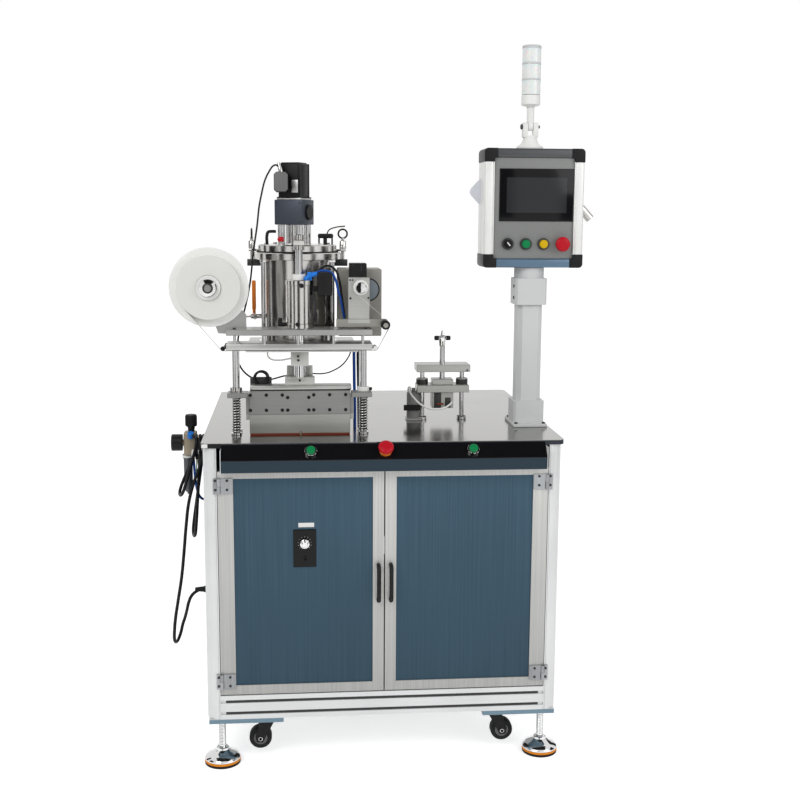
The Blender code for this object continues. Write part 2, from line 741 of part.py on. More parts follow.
def levelling_foot(name, side, end):
    """A dished foot on a rubber pad, with a threaded stem and a jam nut."""
    top = FRAME_BOTTOM - GAP
    plate_under = FRAME_BOTTOM + SINK - CORNER_PLATE[2]
    foot = turned([
        (0, top), (STEM_RADIUS, top), (STEM_RADIUS, plate_under - GAP),
        (0.0140, plate_under - GAP), (0.0140, plate_under - 0.010),
        (STEM_RADIUS, plate_under - 0.010),
        (STEM_RADIUS, 0.047), (0.014, FOOT_DISH_HEIGHT + FOOT_PAD_HEIGHT),
        (0.030, 0.033), (FOOT_RADIUS - 0.004, 0.022), (FOOT_RADIUS, FOOT_PAD_HEIGHT),
        (FOOT_RADIUS, 0), (0, 0)], (side * FOOT_X, end * FOOT_Y, 0))
    return part(name, foot, "chrome", (side * FOOT_X, end * FOOT_Y, 0))


def caster(name, side, end):
    """A swivelling fork with its axle, and the wheel that turns on the axle."""
    x, y = side * CASTER_X, end * CASTER_Y
    axle_x = side * (CASTER_X + CASTER_TRAIL)
    crown_top = FRAME_BOTTOM + SINK - CORNER_PLATE[2] - CASTER_PLATE_THICKNESS - 0.0060
    half = WHEEL_WIDTH / 2 + 0.0016
    crown = rod((x, y, crown_top - 0.0105), (x, y, crown_top), 0.021)
    pocket = turned([(0, 0.02), (0.0075, 0.02), (0.0075, -0.0095), (0.0112, -0.0100),
                     (0.0112, -0.03), (0, -0.03)], (x, y, crown_top), steps=12)
    fork = crown
    for sign in (-1, 1):
        centre_y = y + sign * (half + FORK_CHEEK / 2)
        outline = [(x - side * 0.019, crown_top - 0.003), (x + side * 0.018, crown_top - 0.003),
                   (axle_x + side * 0.013, AXLE_HEIGHT + 0.006),
                   (axle_x + side * 0.010, AXLE_HEIGHT - 0.010),
                   (axle_x - side * 0.006, AXLE_HEIGHT - 0.011),
                   (axle_x - side * 0.013, AXLE_HEIGHT + 0.004)]
        join(fork, slab(outline, FORK_CHEEK, (0, centre_y, 0)))
    join(fork, rod((axle_x, y - half - FORK_CHEEK - 0.004, AXLE_HEIGHT),
                   (axle_x, y + half + FORK_CHEEK + 0.004, AXLE_HEIGHT), AXLE_RADIUS, 12))
    cut(fork, pocket)
    part(name + "_caster", fork, "black", (x, y, AXLE_HEIGHT))
    width = WHEEL_WIDTH / 2
    tyre = turned([(AXLE_RADIUS + RUNNING, width + 0.0008), (0.0100, width + 0.0008),
                   (0.0195, width - 0.003), (0.0205, width), (WHEEL_RADIUS - 0.003, width),
                   (WHEEL_RADIUS, width - 0.004), (WHEEL_RADIUS, -width + 0.004),
                   (WHEEL_RADIUS - 0.003, -width), (0.0205, -width), (0.0195, -width + 0.003),
                   (0.0100, -width - 0.0008), (AXLE_RADIUS + RUNNING, -width - 0.0008)],
                  (axle_x, y, AXLE_HEIGHT), (0, -1, 0), 16, closed=True)
    part(name + "_wheel", tyre, "rubber", (axle_x, y, AXLE_HEIGHT))


def side_panel(name, side):
    """A thin panel between the columns, with the rail that carries the table."""
    low, high = BEAM_TOP + GAP, TABLE_UNDER - GAP
    outer = HALF_W - PANEL_RECESS
    sheet = sided_box(side, (outer - PANEL_THICKNESS, outer),
                      (-INNER_D + GAP, INNER_D - GAP), (low, high))
    rail = sided_box(side, (outer - RAIL_DEPTH, outer - SINK),
                     (-INNER_D + GAP, INNER_D - GAP), (high - 0.030, high))
    foot_rail = sided_box(side, (outer - 0.020, outer - SINK),
                          (-INNER_D + GAP, INNER_D - GAP), (low, low + 0.012))
    join(sheet, rail, foot_rail)
    if side < 0:
        gland = turned([(0, 0.022), (0.0075, 0.022), (0.0095, 0.018), (0.0095, 0.008),
                        (0.0125, 0.007), (0.0125, -SINK), (0, -SINK)],
                       (-outer, GLAND_Y, GLAND_Z), (-1, 0, 0), 12)
        hole = rod((-outer + PANEL_THICKNESS + 0.001, GLAND_Y, GLAND_Z),
                   (-outer - 0.03, GLAND_Y, GLAND_Z), CABLE_DIAMETER / 2 + 2 * GAP, 12)
        cut(join(sheet, gland), hole)
        peg = smooth_route([(-outer + 0.001, HANK_Y, PEG_Z), (-outer - 0.020, HANK_Y, PEG_Z),
                            (-outer - 0.0350, HANK_Y, PEG_Z), (-outer - 0.0420, HANK_Y, PEG_Z + 0.009)], 2)
        join(sheet, tube(peg, PEG_RADIUS))
    return part(name, sheet, "dark_blue")


def rear_panel():
    low, high = BEAM_TOP + GAP, TABLE_UNDER - GAP
    outer = HALF_D - PANEL_RECESS
    sheet = box((-INNER_W + GAP, outer - PANEL_THICKNESS, low), (INNER_W - GAP, outer, high))
    rail = box((-INNER_W + GAP, outer - RAIL_DEPTH, high - 0.030),
               (INNER_W - GAP, outer - SINK, high))
    foot_rail = box((-INNER_W + GAP, outer - 0.020, low), (INNER_W - GAP, outer - SINK, low + 0.012))
    join(sheet, rail, foot_rail)
    for i in range(7):
        x = -0.09 + i * 0.03
        cut(sheet, box((x - 0.006, outer - 0.01, BEAM_TOP + VENT_RISE),
                       (x + 0.006, outer + 0.01, BEAM_TOP + VENT_RISE + VENT_HEIGHT)))
    return part("rear_panel", sheet, "dark_blue")


def control_fascia():
    """The sloping console above the doors, with its button bezels."""
    back = DOOR_FRONT + FASCIA_BACK
    under = TABLE_UNDER - GAP
    outline = [(FASCIA_EDGE, FASCIA_TOP), (FASCIA_EDGE - FASCIA_RUN, STRIP_TOP),
               (FASCIA_EDGE - FASCIA_RUN + STRIP_LEAN, STRIP_BOTTOM), (back, STRIP_BOTTOM),
               (back, under), (FASCIA_EDGE, under)]
    console = slab(outline, 2 * FASCIA_HALF, (0, 0, 0), "YZ")
    for x in (START_BUTTON_X[0], STOP_BUTTON_X, START_BUTTON_X[1]):
        ring, tool = ring_and_bore((x, *FASCIA_MIDDLE), FASCIA_NORMAL, CAP_RADIUS + RUNNING, 0.010)
        cut(console, tool)
        join(console, ring)
    return part("control_fascia", console, "gloss_black")


def door(name, side):
    """A framed door with a set-back panel, its hinge leaves and a D handle."""
    inner, outer = DOOR_GAP / 2, DOOR_HALF_WIDTH
    back = DOOR_FRONT + DOOR_THICKNESS
    leaf = sided_box(side, (inner, outer), (DOOR_FRONT, back), (DOOR_BOTTOM, DOOR_TOP))
    across = (inner + DOOR_INNER_STILE, outer - DOOR_OUTER_STILE)
    height = (DOOR_BOTTOM + DOOR_BOTTOM_RAIL, DOOR_TOP - DOOR_TOP_RAIL)
    panel_front = DOOR_FRONT + DOOR_PANEL_SETBACK
    cut(leaf, sided_box(side, across, (DOOR_FRONT - 0.01, panel_front), height),
        sided_box(side, across, (panel_front + DOOR_PANEL_THICKNESS, back + 0.01), height))
    x = side * (inner + DOOR_INNER_STILE / 2)
    low, high = HANDLE_CENTRE_HEIGHT - HANDLE_PITCH / 2, HANDLE_CENTRE_HEIGHT + HANDLE_PITCH / 2
    reach = DOOR_FRONT - HANDLE_REACH + HANDLE_RADIUS
    bend = 0.010
    route = [(x, DOOR_FRONT + 0.002, low), (x, reach + bend, low), (x, reach + bend * 0.3, low + bend * 0.3),
             (x, reach, low + bend), (x, reach, high - bend),
             (x, reach + bend * 0.3, high - bend * 0.3), (x, reach + bend, high),
             (x, DOOR_FRONT + 0.002, high)]
    join(leaf, tube(route, HANDLE_RADIUS, 4))
    bores = []
    for z in hinge_heights():
        pieces, bore = door_hinge(side, z)
        join(leaf, *pieces)
        bores.append(bore)
    if side < 0:
        join(leaf, centred_box((SPEED_PLATE_X, panel_front - SPEED_PLATE[1] / 2 + SINK / 2, SPEED_PLATE_Z),
                               (SPEED_PLATE[0], SPEED_PLATE[1] + SINK, SPEED_PLATE[2]), 0.0005))
        knob_z = SPEED_PLATE_Z + SPEED_KNOB_RISE
        face = panel_front - SPEED_PLATE[1]
        bores.append(rod((SPEED_PLATE_X, face - 0.01, knob_z), (SPEED_PLATE_X, face + 0.0045, knob_z),
                         0.0031 + RUNNING, 12))
        join(leaf, rod((SPEED_PLATE_X, face + 0.001, knob_z - 0.039),
                       (SPEED_PLATE_X, face - 0.003, knob_z - 0.039), 0.0055, 16),
             rod((SPEED_PLATE_X, face, knob_z - 0.039),
                 (SPEED_PLATE_X + 0.002, face - 0.012, knob_z - 0.042), 0.0022, 12))
    cut(leaf, *bores)
    x, y = hinge_axis(side)
    return part(name, leaf, "dark_blue", (x, y, DOOR_BOTTOM))


def speed_knob():
    face = DOOR_FRONT + DOOR_PANEL_SETBACK - SPEED_PLATE[1]
    base = (SPEED_PLATE_X, face, SPEED_PLATE_Z + SPEED_KNOB_RISE)
    knob = turned([(0, SPEED_KNOB_LENGTH), (SPEED_KNOB_RADIUS - 0.002, SPEED_KNOB_LENGTH),
                   (SPEED_KNOB_RADIUS - 0.001, SPEED_KNOB_LENGTH - 0.001),
                   (SPEED_KNOB_RADIUS, 0.0015), (SPEED_KNOB_RADIUS, GAP + 0.0002),
                   (0.0031, GAP + 0.0002), (0.0031, -0.004), (0, -0.004)], base, (0, -1, 0), 16)
    cut(knob, centred_box((base[0], base[1] - SPEED_KNOB_LENGTH, base[2] + 0.006),
                          (0.0012, 0.002, 0.009)))
    return part("speed_knob", knob, "chrome", base)


def guide_post(name, side):
    """A ground post from the table to the lower plate."""
    x = PRESS_X + side * POST_PITCH / 2
    top = LOWER_PLATE_Z - GAP - TABLE_HEIGHT
    flange = POST_FLANGE_HEIGHT
    post = turned([(0, top), (POST_RADIUS - 0.0006, top), (POST_RADIUS, top - 0.0006),
                   (POST_RADIUS, flange), (POST_FLANGE_RADIUS, flange),
                   (POST_FLANGE_RADIUS, GAP), (0, GAP)], (x, POST_Y, TABLE_HEIGHT))
    return part(name, post, "chrome")


def coil_spring(name, side):
    """A spring between the post's flange and the ear above, with flattened end turns."""
    x = PRESS_X + side * POST_PITCH / 2
    low = TABLE_HEIGHT + POST_FLANGE_HEIGHT + SPRING_WIRE + GAP
    high = EAR_BOTTOM - SPRING_WIRE - GAP
    points = []
    total = SPRING_TURNS * SPRING_STEPS
    for i in range(total + 1):
        share = i / total
        angle = 2 * math.pi * SPRING_TURNS * share
        ease = min(max((share * SPRING_TURNS - 0.75) / (SPRING_TURNS - 1.5), 0), 1)
        points.append((x + SPRING_MEAN_RADIUS * math.cos(angle),
                       POST_Y + SPRING_MEAN_RADIUS * math.sin(angle),
                       low + 2.6 * SPRING_WIRE * min(share * SPRING_TURNS, 0.75) / 0.75
                       + (high - low - 5.2 * SPRING_WIRE) * ease
                       + 2.6 * SPRING_WIRE * max(share * SPRING_TURNS - SPRING_TURNS + 0.75, 0) / 0.75))
    return part(name, tube(points, SPRING_WIRE, 2), "spring_steel")


def lower_plate():
    """The lower press plate with its tray, rod guide, spacers, rear posts and film pins."""
    left, right = PRESS_X - PLATE_WIDTH / 2, PRESS_X + PLATE_WIDTH / 2
    plate = box((left, PLATE_FRONT, LOWER_PLATE_Z), (right, PLATE_BACK, LOWER_PLATE_TOP), 0.001)
    half = TRAY_WIDTH / 2
    centre = PRESS_X + TRAY_OFFSET
    outline = [(centre - half + TRAY_CHAMFER, TRAY_FRONT), (centre + half - TRAY_CHAMFER, TRAY_FRONT),
               (centre + half, TRAY_FRONT + TRAY_CHAMFER), (centre + half, TRAY_BACK),
               (centre - half, TRAY_BACK), (centre - half, TRAY_FRONT + TRAY_CHAMFER)]
    tray = slab(outline, TRAY_THICKNESS, (0, 0, TRAY_TOP - TRAY_THICKNESS / 2), "XY")
    width, depth, height = GUIDE_BLOCK
    guide = box((PRESS_X - width / 2, CYLINDER_Y - depth / 2, LOWER_PLATE_Z - height),
                (PRESS_X + width / 2, CYLINDER_Y + depth / 2, LOWER_PLATE_Z + SINK), 0.001)
    join(plate, tray, guide)
    for x in (PRESS_X + offset for offset in SPACER_OFFSETS):
        join(plate, rod((x, PLATE_FRONT + 0.008, LOWER_PLATE_TOP - SINK),
                        (x, PLATE_FRONT + 0.008, UPPER_PLATE_Z - GAP), SPACER_RADIUS, 12))
    for side in (-1, 1):
        x = PRESS_X + side * POST_PITCH / 2
        y = POST_Y + REAR_POST_OFFSET
        join(plate, rod((x, y, TABLE_HEIGHT + GAP), (x, y, LOWER_PLATE_Z + SINK), POST_RADIUS, 12),
             rod((x, y, TABLE_HEIGHT + GAP), (x, y, TABLE_HEIGHT + 0.008), POST_FLANGE_RADIUS, 12))
    for x, end in ((LEFT_PIN_X, left), (RIGHT_PIN_X, right)):
        join(plate, rod((x, FILM_Y - FILM_WIDTH / 2 - 0.002, PIN_Z),
                        (x, FILM_Y + FILM_WIDTH / 2 + 0.012, PIN_Z), PIN_RADIUS, 16),
             box((min(x, end) - 0.002, FILM_Y + FILM_WIDTH / 2 + 0.003, PIN_Z - 0.004),
                 (max(x, end) + 0.002, FILM_Y + FILM_WIDTH / 2 + 0.012, PIN_Z + 0.005)))
    cut(plate, rod((PRESS_X, CYLINDER_Y, HEAD_BAR_BOTTOM),
                   (PRESS_X, CYLINDER_Y, 2 * LOWER_PLATE_TOP - HEAD_BAR_BOTTOM), ROD_RADIUS + RUNNING))
    return part("lower_plate", plate, "machined")


def upper_plate():
    """The upper press plate with the sheet bracket and the pin of the supply reel."""
    left, right = PRESS_X - PLATE_WIDTH / 2, PRESS_X + PLATE_WIDTH / 2
    plate = box((left, PLATE_FRONT, UPPER_PLATE_Z), (right, PLATE_BACK, UPPER_PLATE_TOP), 0.001)
    outline = arc((REEL_X, REEL_Z), 0.026, 60, 250, 10)
    outline += [(left - 0.020, UPPER_PLATE_Z + 0.004), (left + 0.012, UPPER_PLATE_Z + 0.002),
                (left + 0.012, UPPER_PLATE_TOP - 0.001), (left + 0.050, UPPER_PLATE_TOP + 0.022),
                (left + 0.050, UPPER_PLATE_TOP + 0.036)]
    bracket = slab(outline, 0.004, (0, REEL_BRACKET_Y, 0))
    tab = box((left + 0.006, REEL_BRACKET_Y - 0.002, UPPER_PLATE_TOP - 0.002),
              (left + 0.050, REEL_BRACKET_Y + 0.002, UPPER_PLATE_TOP + 0.030))
    pin = turned([(0, 0.0445), (0.0085, 0.0445), (0.0085, 0.0415), (REEL_PIN_RADIUS, 0.0415),
                  (REEL_PIN_RADIUS, -0.001), (0, -0.001)],
                 (REEL_X, REEL_BRACKET_Y - 0.002, REEL_Z), (0, -1, 0), 12)
    join(plate, bracket, tab, pin)
    cut(plate, rod((PRESS_X, CYLINDER_Y, LOWER_PLATE_Z),
                   (PRESS_X, CYLINDER_Y, UPPER_PLATE_TOP + PLATE_SPACE), ROD_RADIUS + RUNNING))
    return part("upper_plate", plate, "machined")


def press_head():
    """The bar over the filling block, the crosshead, and the rod with its piston and stop."""
    half = BLOCK_WIDTH / 2
    back = BLOCK_FRONT + HEAD_DEPTH
    top = HEAD_BAR_BOTTOM + HEAD_BAR_HEIGHT
    bar = box((PRESS_X - half + 0.003, BLOCK_FRONT, HEAD_BAR_BOTTOM),
              (PRESS_X + half + 0.003, back, top), 0.001)
    neck = box((PRESS_X - half + 0.008, BLOCK_FRONT + 0.006, HEAD_BAR_BOTTOM - BLOCK_SEAM + GAP),
               (PRESS_X + half - 0.008, back - 0.006, HEAD_BAR_BOTTOM + SINK))
    width, depth, height = CROSSHEAD
    cross = box((PRESS_X - width / 2, CYLINDER_Y - depth / 2, top - SINK),
                (PRESS_X + width / 2, CYLINDER_Y + depth / 2, top + height), 0.001)
    piston = BARREL_BOTTOM + PISTON_RISE
    shaft = turned([
        (0, STROKE_NUT_BOTTOM + STROKE_NUT_HEIGHT),
        (STROKE_NUT_RADIUS - 0.001, STROKE_NUT_BOTTOM + STROKE_NUT_HEIGHT),
        (STROKE_NUT_RADIUS, STROKE_NUT_BOTTOM + STROKE_NUT_HEIGHT - 0.001),
        (STROKE_NUT_RADIUS, STROKE_NUT_BOTTOM), (TAIL_ROD_RADIUS, STROKE_NUT_BOTTOM),
        (TAIL_ROD_RADIUS, piston + PISTON_HEIGHT),
        (BARREL_RADIUS - BARREL_WALL - RUNNING, piston + PISTON_HEIGHT),
        (BARREL_RADIUS - BARREL_WALL - RUNNING, piston), (ROD_RADIUS, piston),
        (ROD_RADIUS, top + height - 0.001), (0, top + height - 0.001)],
        (PRESS_X, CYLINDER_Y, 0))
    join(bar, neck, cross, shaft)
    tab_y = CYLINDER_Y + GUIDE_BLOCK[1] / 2 + 0.001
    for dx in (-0.024, 0.024):
        join(bar, box((PRESS_X + dx - 0.010, CYLINDER_Y + depth / 2 - 0.001, top + 0.002),
                      (PRESS_X + dx + 0.010, tab_y + 0.002, top + height - 0.003)),
             box((PRESS_X + dx - 0.009, tab_y, top + 0.003),
                 (PRESS_X + dx + 0.009, tab_y + 0.003, top + 0.046)))
    return part("press_head", bar, "machined", (PRESS_X, CYLINDER_Y, HEAD_BAR_BOTTOM))


def filling_block():
    """The block with the heating strip, its face plate and the two ears on the posts."""
    half = BLOCK_WIDTH / 2
    back = BLOCK_FRONT + HEAD_DEPTH
    strip_top = TABLE_HEIGHT + GAP + HEAT_STRIP_HEIGHT
    face_low = HEAD_BAR_BOTTOM - BLOCK_SEAM - FACE_PLATE_HEIGHT
    block = box((PRESS_X - half, BLOCK_FRONT, strip_top - SINK),
                (PRESS_X + half, back, face_low), 0.0008)
    strip = box((PRESS_X - half + 0.001, BLOCK_FRONT + 0.001, TABLE_HEIGHT + GAP),
                (PRESS_X + half - 0.001, back - 0.001, strip_top))
    face = box((PRESS_X - half, BLOCK_FRONT - BLOCK_STEP, face_low - SINK),
               (PRESS_X + half, back, HEAD_BAR_BOTTOM - BLOCK_SEAM), 0.0008)
    join(block, strip, face)
    for side in (-1, 1):
        x = PRESS_X + side * POST_PITCH / 2
        edge = side * half
        ear_centre = PRESS_X + side * 0.1550
        front = -0.347
        join(block, centred_box((ear_centre, front + EAR[1] / 2, EAR_BOTTOM + EAR[2] / 2), EAR, 0.001),
             sided_box(1, sorted((PRESS_X + edge - side * 0.002, PRESS_X + edge + side * 0.009)),
                       (BLOCK_FRONT + 0.004, back - 0.002), (EAR_BOTTOM - 0.060, EAR_BOTTOM + SINK)))
        bore = POST_RADIUS + RUNNING
        cut(block, rod((x, POST_Y, EAR_BOTTOM - EAR[2]), (x, POST_Y, EAR_BOTTOM + 2 * EAR[2]), bore))
        join(block, turned([(bore + 0.0002, 0.010), (0.0145, 0.010), (0.0155, 0.009),
                            (0.0155, -SINK), (bore + 0.0002, -SINK)],
                           (x, POST_Y, EAR_BOTTOM + EAR[2]), (0, 0, 1), closed=True))
    return part("filling_block", block, "machined")


def air_cylinder():
    """The air cylinder: a hollow barrel, end caps, the bumper, fittings and a valve box."""
    inner = BARREL_RADIUS - BARREL_WALL
    base = BARREL_BOTTOM
    cap = END_CAP
    bumper = BARREL_LENGTH + BUMPER_HEIGHT
    barrel = turned([
        (TAIL_ROD_RADIUS + RUNNING, bumper), (BUMPER_RADIUS, bumper),
        (BUMPER_RADIUS, BARREL_LENGTH), (BARREL_RADIUS - 0.001, BARREL_LENGTH),
        (BARREL_RADIUS, BARREL_LENGTH - 0.001), (BARREL_RADIUS, BARREL_LENGTH - cap),
        (BARREL_RADIUS - 0.0012, BARREL_LENGTH - cap - 0.001),
        (BARREL_RADIUS - 0.0012, cap + 0.001), (BARREL_RADIUS, cap),
        (BARREL_RADIUS, 0.001), (BARREL_RADIUS - 0.001, 0), (ROD_RADIUS + RUNNING, 0),
        (ROD_RADIUS + RUNNING, cap), (inner, cap), (inner, BARREL_LENGTH - cap),
        (TAIL_ROD_RADIUS + RUNNING, BARREL_LENGTH - cap)],
        (PRESS_X, CYLINDER_Y, base), closed=True)
    width, depth, height = VALVE_BOX
    x = VALVE_BOX_X
    valve = box((x - width / 2, CYLINDER_Y - depth / 2, VALVE_BOX_BOTTOM),
                (x + width / 2, CYLINDER_Y + depth / 2, VALVE_BOX_BOTTOM + height), 0.003)
    arm = box((PRESS_X + BARREL_RADIUS - 0.003, CYLINDER_Y - 0.008, VALVE_BOX_BOTTOM + 0.010),
              (x - width / 2 + 0.002, CYLINDER_Y + 0.008, VALVE_BOX_BOTTOM + 0.024))
    port = rod((PRESS_X - BARREL_RADIUS + 0.003, CYLINDER_Y, base + 0.008),
               (PRESS_X - BARREL_RADIUS - 0.018, CYLINDER_Y, base + 0.008), 0.0055, 12)
    elbow = rod((PRESS_X - BARREL_RADIUS - 0.013, CYLINDER_Y, base + 0.008),
                (PRESS_X - BARREL_RADIUS - 0.013, CYLINDER_Y, base + 0.024), 0.0055, 12)
    upper = rod((PRESS_X + 0.026, CYLINDER_Y, base + BARREL_LENGTH - SINK),
                (PRESS_X + 0.026, CYLINDER_Y, base + BARREL_LENGTH + 0.020), 0.0062, 12)
    join(barrel, valve, arm, port, elbow, upper)
    return part("air_cylinder", barrel, "chrome")


def tank():
    """The open tank with its flange, legs and swing-bolt clamps."""
    wall = TANK_RADIUS - TANK_WALL
    low, high = TANK_BOTTOM, TANK_FLANGE_TOP
    under = high - TANK_FLANGE_HEIGHT
    vessel = turned([
        (0, low + TANK_FLOOR), (wall, low + TANK_FLOOR), (wall, high),
        (TANK_FLANGE_RADIUS - 0.002, high), (TANK_FLANGE_RADIUS, high - 0.002),
        (TANK_FLANGE_RADIUS, under + 0.001), (TANK_FLANGE_RADIUS - 0.001, under),
        (TANK_RADIUS, under), (TANK_RADIUS, low), (0, low)], (TANK_X, TANK_Y, 0), steps=26)
    for dx in (-1, 1):
        for dy in (-1, 1):
            x, y = TANK_X + dx * LEG_SPREAD[0], TANK_Y + dy * LEG_SPREAD[1]
            join(vessel, rod((x, y, low), (x, y, under + SINK), LEG_RADIUS, 12),
                 rod((x, y, low), (x, y, low + 0.010), LEG_RADIUS + 0.003, 6))
    for side in (-1, 1):
        x = TANK_X + side * CLAMP_REACH
        join(vessel, sided_box(1, sorted((TANK_X + side * 0.0940, x + side * 0.012)),
                               (TANK_Y - 0.011, TANK_Y + 0.011), (high - 0.0354, under + 0.005), 0.001),
             rod((x, TANK_Y, high - 0.0214), (x, TANK_Y, CLAMP_RING_Z), CLAMP_BOLT_RADIUS, 12),
             rod((x, TANK_Y, CLAMP_NUT_Z), (x, TANK_Y, CLAMP_NUT_Z + CLAMP_NUT_HEIGHT + 0.006),
                 CLAMP_NUT_RADIUS, 12),
             clamp_ring(x, side))
    return part("tank", vessel, "stainless")


def clamp_ring(x, side):
    """The finger ring on top of a clamp bolt, edge on at the left and face on at the right."""
    points = []
    centre_z = CLAMP_RING_Z + CLAMP_RING_RADIUS
    for i in range(12):
        angle = 2 * math.pi * i / 12
        across, up = CLAMP_RING_RADIUS * math.sin(angle), -CLAMP_RING_RADIUS * math.cos(angle)
        offset = Vector((across, 0, up)) if side > 0 else Vector((0, across, up))
        points.append(Vector((x, TANK_Y, centre_z)) + offset)
    return ring_tube(points, 0.0022, 1)


def tank_lid():
    """The lid with its lugs, handles, filler valve and the pillars of the stirrer drive."""
    lid = turned([
        (0, LID_TOP), (LID_RADIUS - 0.003, LID_TOP), (LID_RADIUS, LID_TOP - 0.003),
        (LID_RADIUS, LID_BOTTOM), (LID_RADIUS + 0.004, LID_BOTTOM),
        (LID_RADIUS + 0.004, TANK_FLANGE_TOP + GAP),
        (TANK_RADIUS - TANK_WALL - 0.002, TANK_FLANGE_TOP + GAP),
        (TANK_RADIUS - TANK_WALL - 0.002, TANK_FLANGE_TOP - 0.003),
        (0, TANK_FLANGE_TOP - 0.003)], (TANK_X, TANK_Y, 0), steps=26)
    for side in (-1, 1):
        x = TANK_X + side * CLAMP_REACH
        lug = sided_box(1, sorted((TANK_X + side * 0.098, x + side * 0.008)),
                        (TANK_Y - 0.012, TANK_Y + 0.012), (LID_BOTTOM, CLAMP_NUT_Z - GAP))
        cut(lug, sided_box(1, sorted((x - side * (CLAMP_BOLT_RADIUS + 0.001), x + side * 0.02)),
                           (TANK_Y - CLAMP_BOLT_RADIUS - 0.001, TANK_Y + CLAMP_BOLT_RADIUS + 0.001),
                           (TANK_FLANGE_TOP, LID_TOP)))
        join(lid, lug)
    centre = Vector((STIRRER_X, TANK_Y, 0))
    turn = Matrix.Rotation(STIRRER_TURN, 3, "Z")
    for dx in (-1, 1):
        for dy in (-1, 1):
            spot = centre + turn @ Vector((dx * PILLAR_OFFSET, dy * PILLAR_OFFSET, 0))
            join(lid, rod(spot + Vector((0, 0, LID_TOP - SINK)),
                          spot + Vector((0, 0, LID_TOP + PILLAR_HEIGHT)), PILLAR_RADIUS, 16))
    join(lid, *lid_fittings())
    cut(lid, rod(centre + Vector((0, 0, TANK_BOTTOM)), centre + Vector((0, 0, LID_TOP + LID_HEIGHT)),
                 SHAFT_RADIUS + RUNNING, 16))
    return part("tank_lid", lid, "stainless")


def lid_fittings():
    """The L handle, the black grip, the valve knob and the thin lever on the lid."""
    top = LID_TOP - SINK
    left, right = TANK_X - 0.078, TANK_X + 0.072
    handle = tube(smooth_route([(left, TANK_Y - 0.030, top), (left, TANK_Y - 0.030, top + 0.026),
                                (left + 0.003, TANK_Y - 0.029, top + 0.032),
                                (left + 0.022, TANK_Y - 0.022, top + 0.033)], 3), 0.0045)
    grip = [rod((right, TANK_Y - 0.020, top), (right, TANK_Y - 0.020, top + 0.022), 0.005, 12),
            centred_box((right + 0.001, TANK_Y - 0.020, top + 0.022), (0.040, 0.014, 0.012), 0.003)]
    lever = tube([(right + 0.004, TANK_Y - 0.020, top + 0.026),
                  (right + 0.010, TANK_Y - 0.020, top + 0.038),
                  (right + 0.052, TANK_Y - 0.016, top + 0.048)], 0.0016, 1)
    knob_x = TANK_X - 0.042
    knob = [rod((knob_x, TANK_Y - 0.070, top), (knob_x, TANK_Y - 0.070, top + 0.010), 0.0045, 12),
            rod((knob_x, TANK_Y - 0.070, top + 0.008), (knob_x, TANK_Y - 0.070, top + 0.020),
                0.0075, 12)]
    return [handle, *grip, lever, *knob]


def turned_box(low, high, bevel=0.0):
    """A box in the stirrer drive's own directions, about the drive's axis."""
    made = box(low, high, bevel)
    made.matrix_world = (Matrix.Translation((STIRRER_X, TANK_Y, 0))
                         @ Matrix.Rotation(STIRRER_TURN, 4, "Z") @ Matrix.Translation(made.location))
    return made


def turned_rod(start, end, radius, sides=ROUND):
    spin = Matrix.Rotation(STIRRER_TURN, 3, "Z")
    centre = Vector((STIRRER_X, TANK_Y, 0))
    return rod(centre + spin @ Vector(start), centre + spin @ Vector(end), radius, sides)


def stirrer_motor():
    """The square gearbox with its motor and connector, turned on its pillars."""
    low, high = GEARBOX_BOTTOM, GEARBOX_BOTTOM + GEARBOX_HEIGHT
    half, motor = GEARBOX_SIZE / 2, MOTOR_SIZE / 2
    drive = turned_box((-half, -half, low), (half, half, high), 0.003)
    join(drive, turned_box((-motor - 0.004, -motor - 0.004, high - SINK),
                           (motor + 0.004, motor + 0.004, high + 0.004)),
         turned_box((-motor, -motor, high + 0.003), (motor, motor, high + MOTOR_HEIGHT), 0.004),
         turned_rod((half - SINK, 0, (low + high) / 2), (half + 0.007, 0, (low + high) / 2), 0.020),
         turned_rod((-motor + SINK, -motor * 0.30, high + 0.048),
                    (-motor - 0.014, -motor * 0.30, high + 0.048), 0.018, 8),
         turned_box((-motor - 0.012, -motor * 0.30 - 0.009, high + 0.060),
                    (-motor + 0.004, -motor * 0.30 + 0.009, high + MOTOR_HEIGHT - 0.004), 0.002))
    cut(drive, rod((STIRRER_X, TANK_Y, low - 0.01), (STIRRER_X, TANK_Y, low + 0.030),
                   SHAFT_RADIUS + RUNNING, 16))
    return part("stirrer_motor", drive, "gearbox_paint")


def agitator():
    """The stirring shaft with its anchor blade."""
    low = TANK_BOTTOM + TANK_FLOOR + 0.012
    shaft = rod((STIRRER_X, TANK_Y, low), (STIRRER_X, TANK_Y, GEARBOX_BOTTOM + 0.028),
                SHAFT_RADIUS, 16)
    reach, height = BLADE_REACH, BLADE_HEIGHT
    outer = [(-reach, height), (-reach, 0.030)] + [(-reach + 0.010, 0.010), (-reach + 0.030, 0)]
    outer += [(-x, z) for x, z in reversed(outer)]
    inner = [(-reach + 0.012, height), (-reach + 0.012, 0.032), (-reach + 0.020, 0.018),
             (-reach + 0.034, 0.012)]
    inner += [(-x, z) for x, z in reversed(inner)]
    blade = slab(outer + list(reversed(inner)), BLADE_THICKNESS, (STIRRER_X, TANK_Y, low + 0.002))
    bar = centred_box((STIRRER_X, TANK_Y, low + height - 0.010),
                      (2 * reach - 0.004, BLADE_THICKNESS - 0.001, 0.010))
    join(shaft, blade, bar)
    return part("agitator", shaft, "stainless", (STIRRER_X, TANK_Y, GEARBOX_BOTTOM))


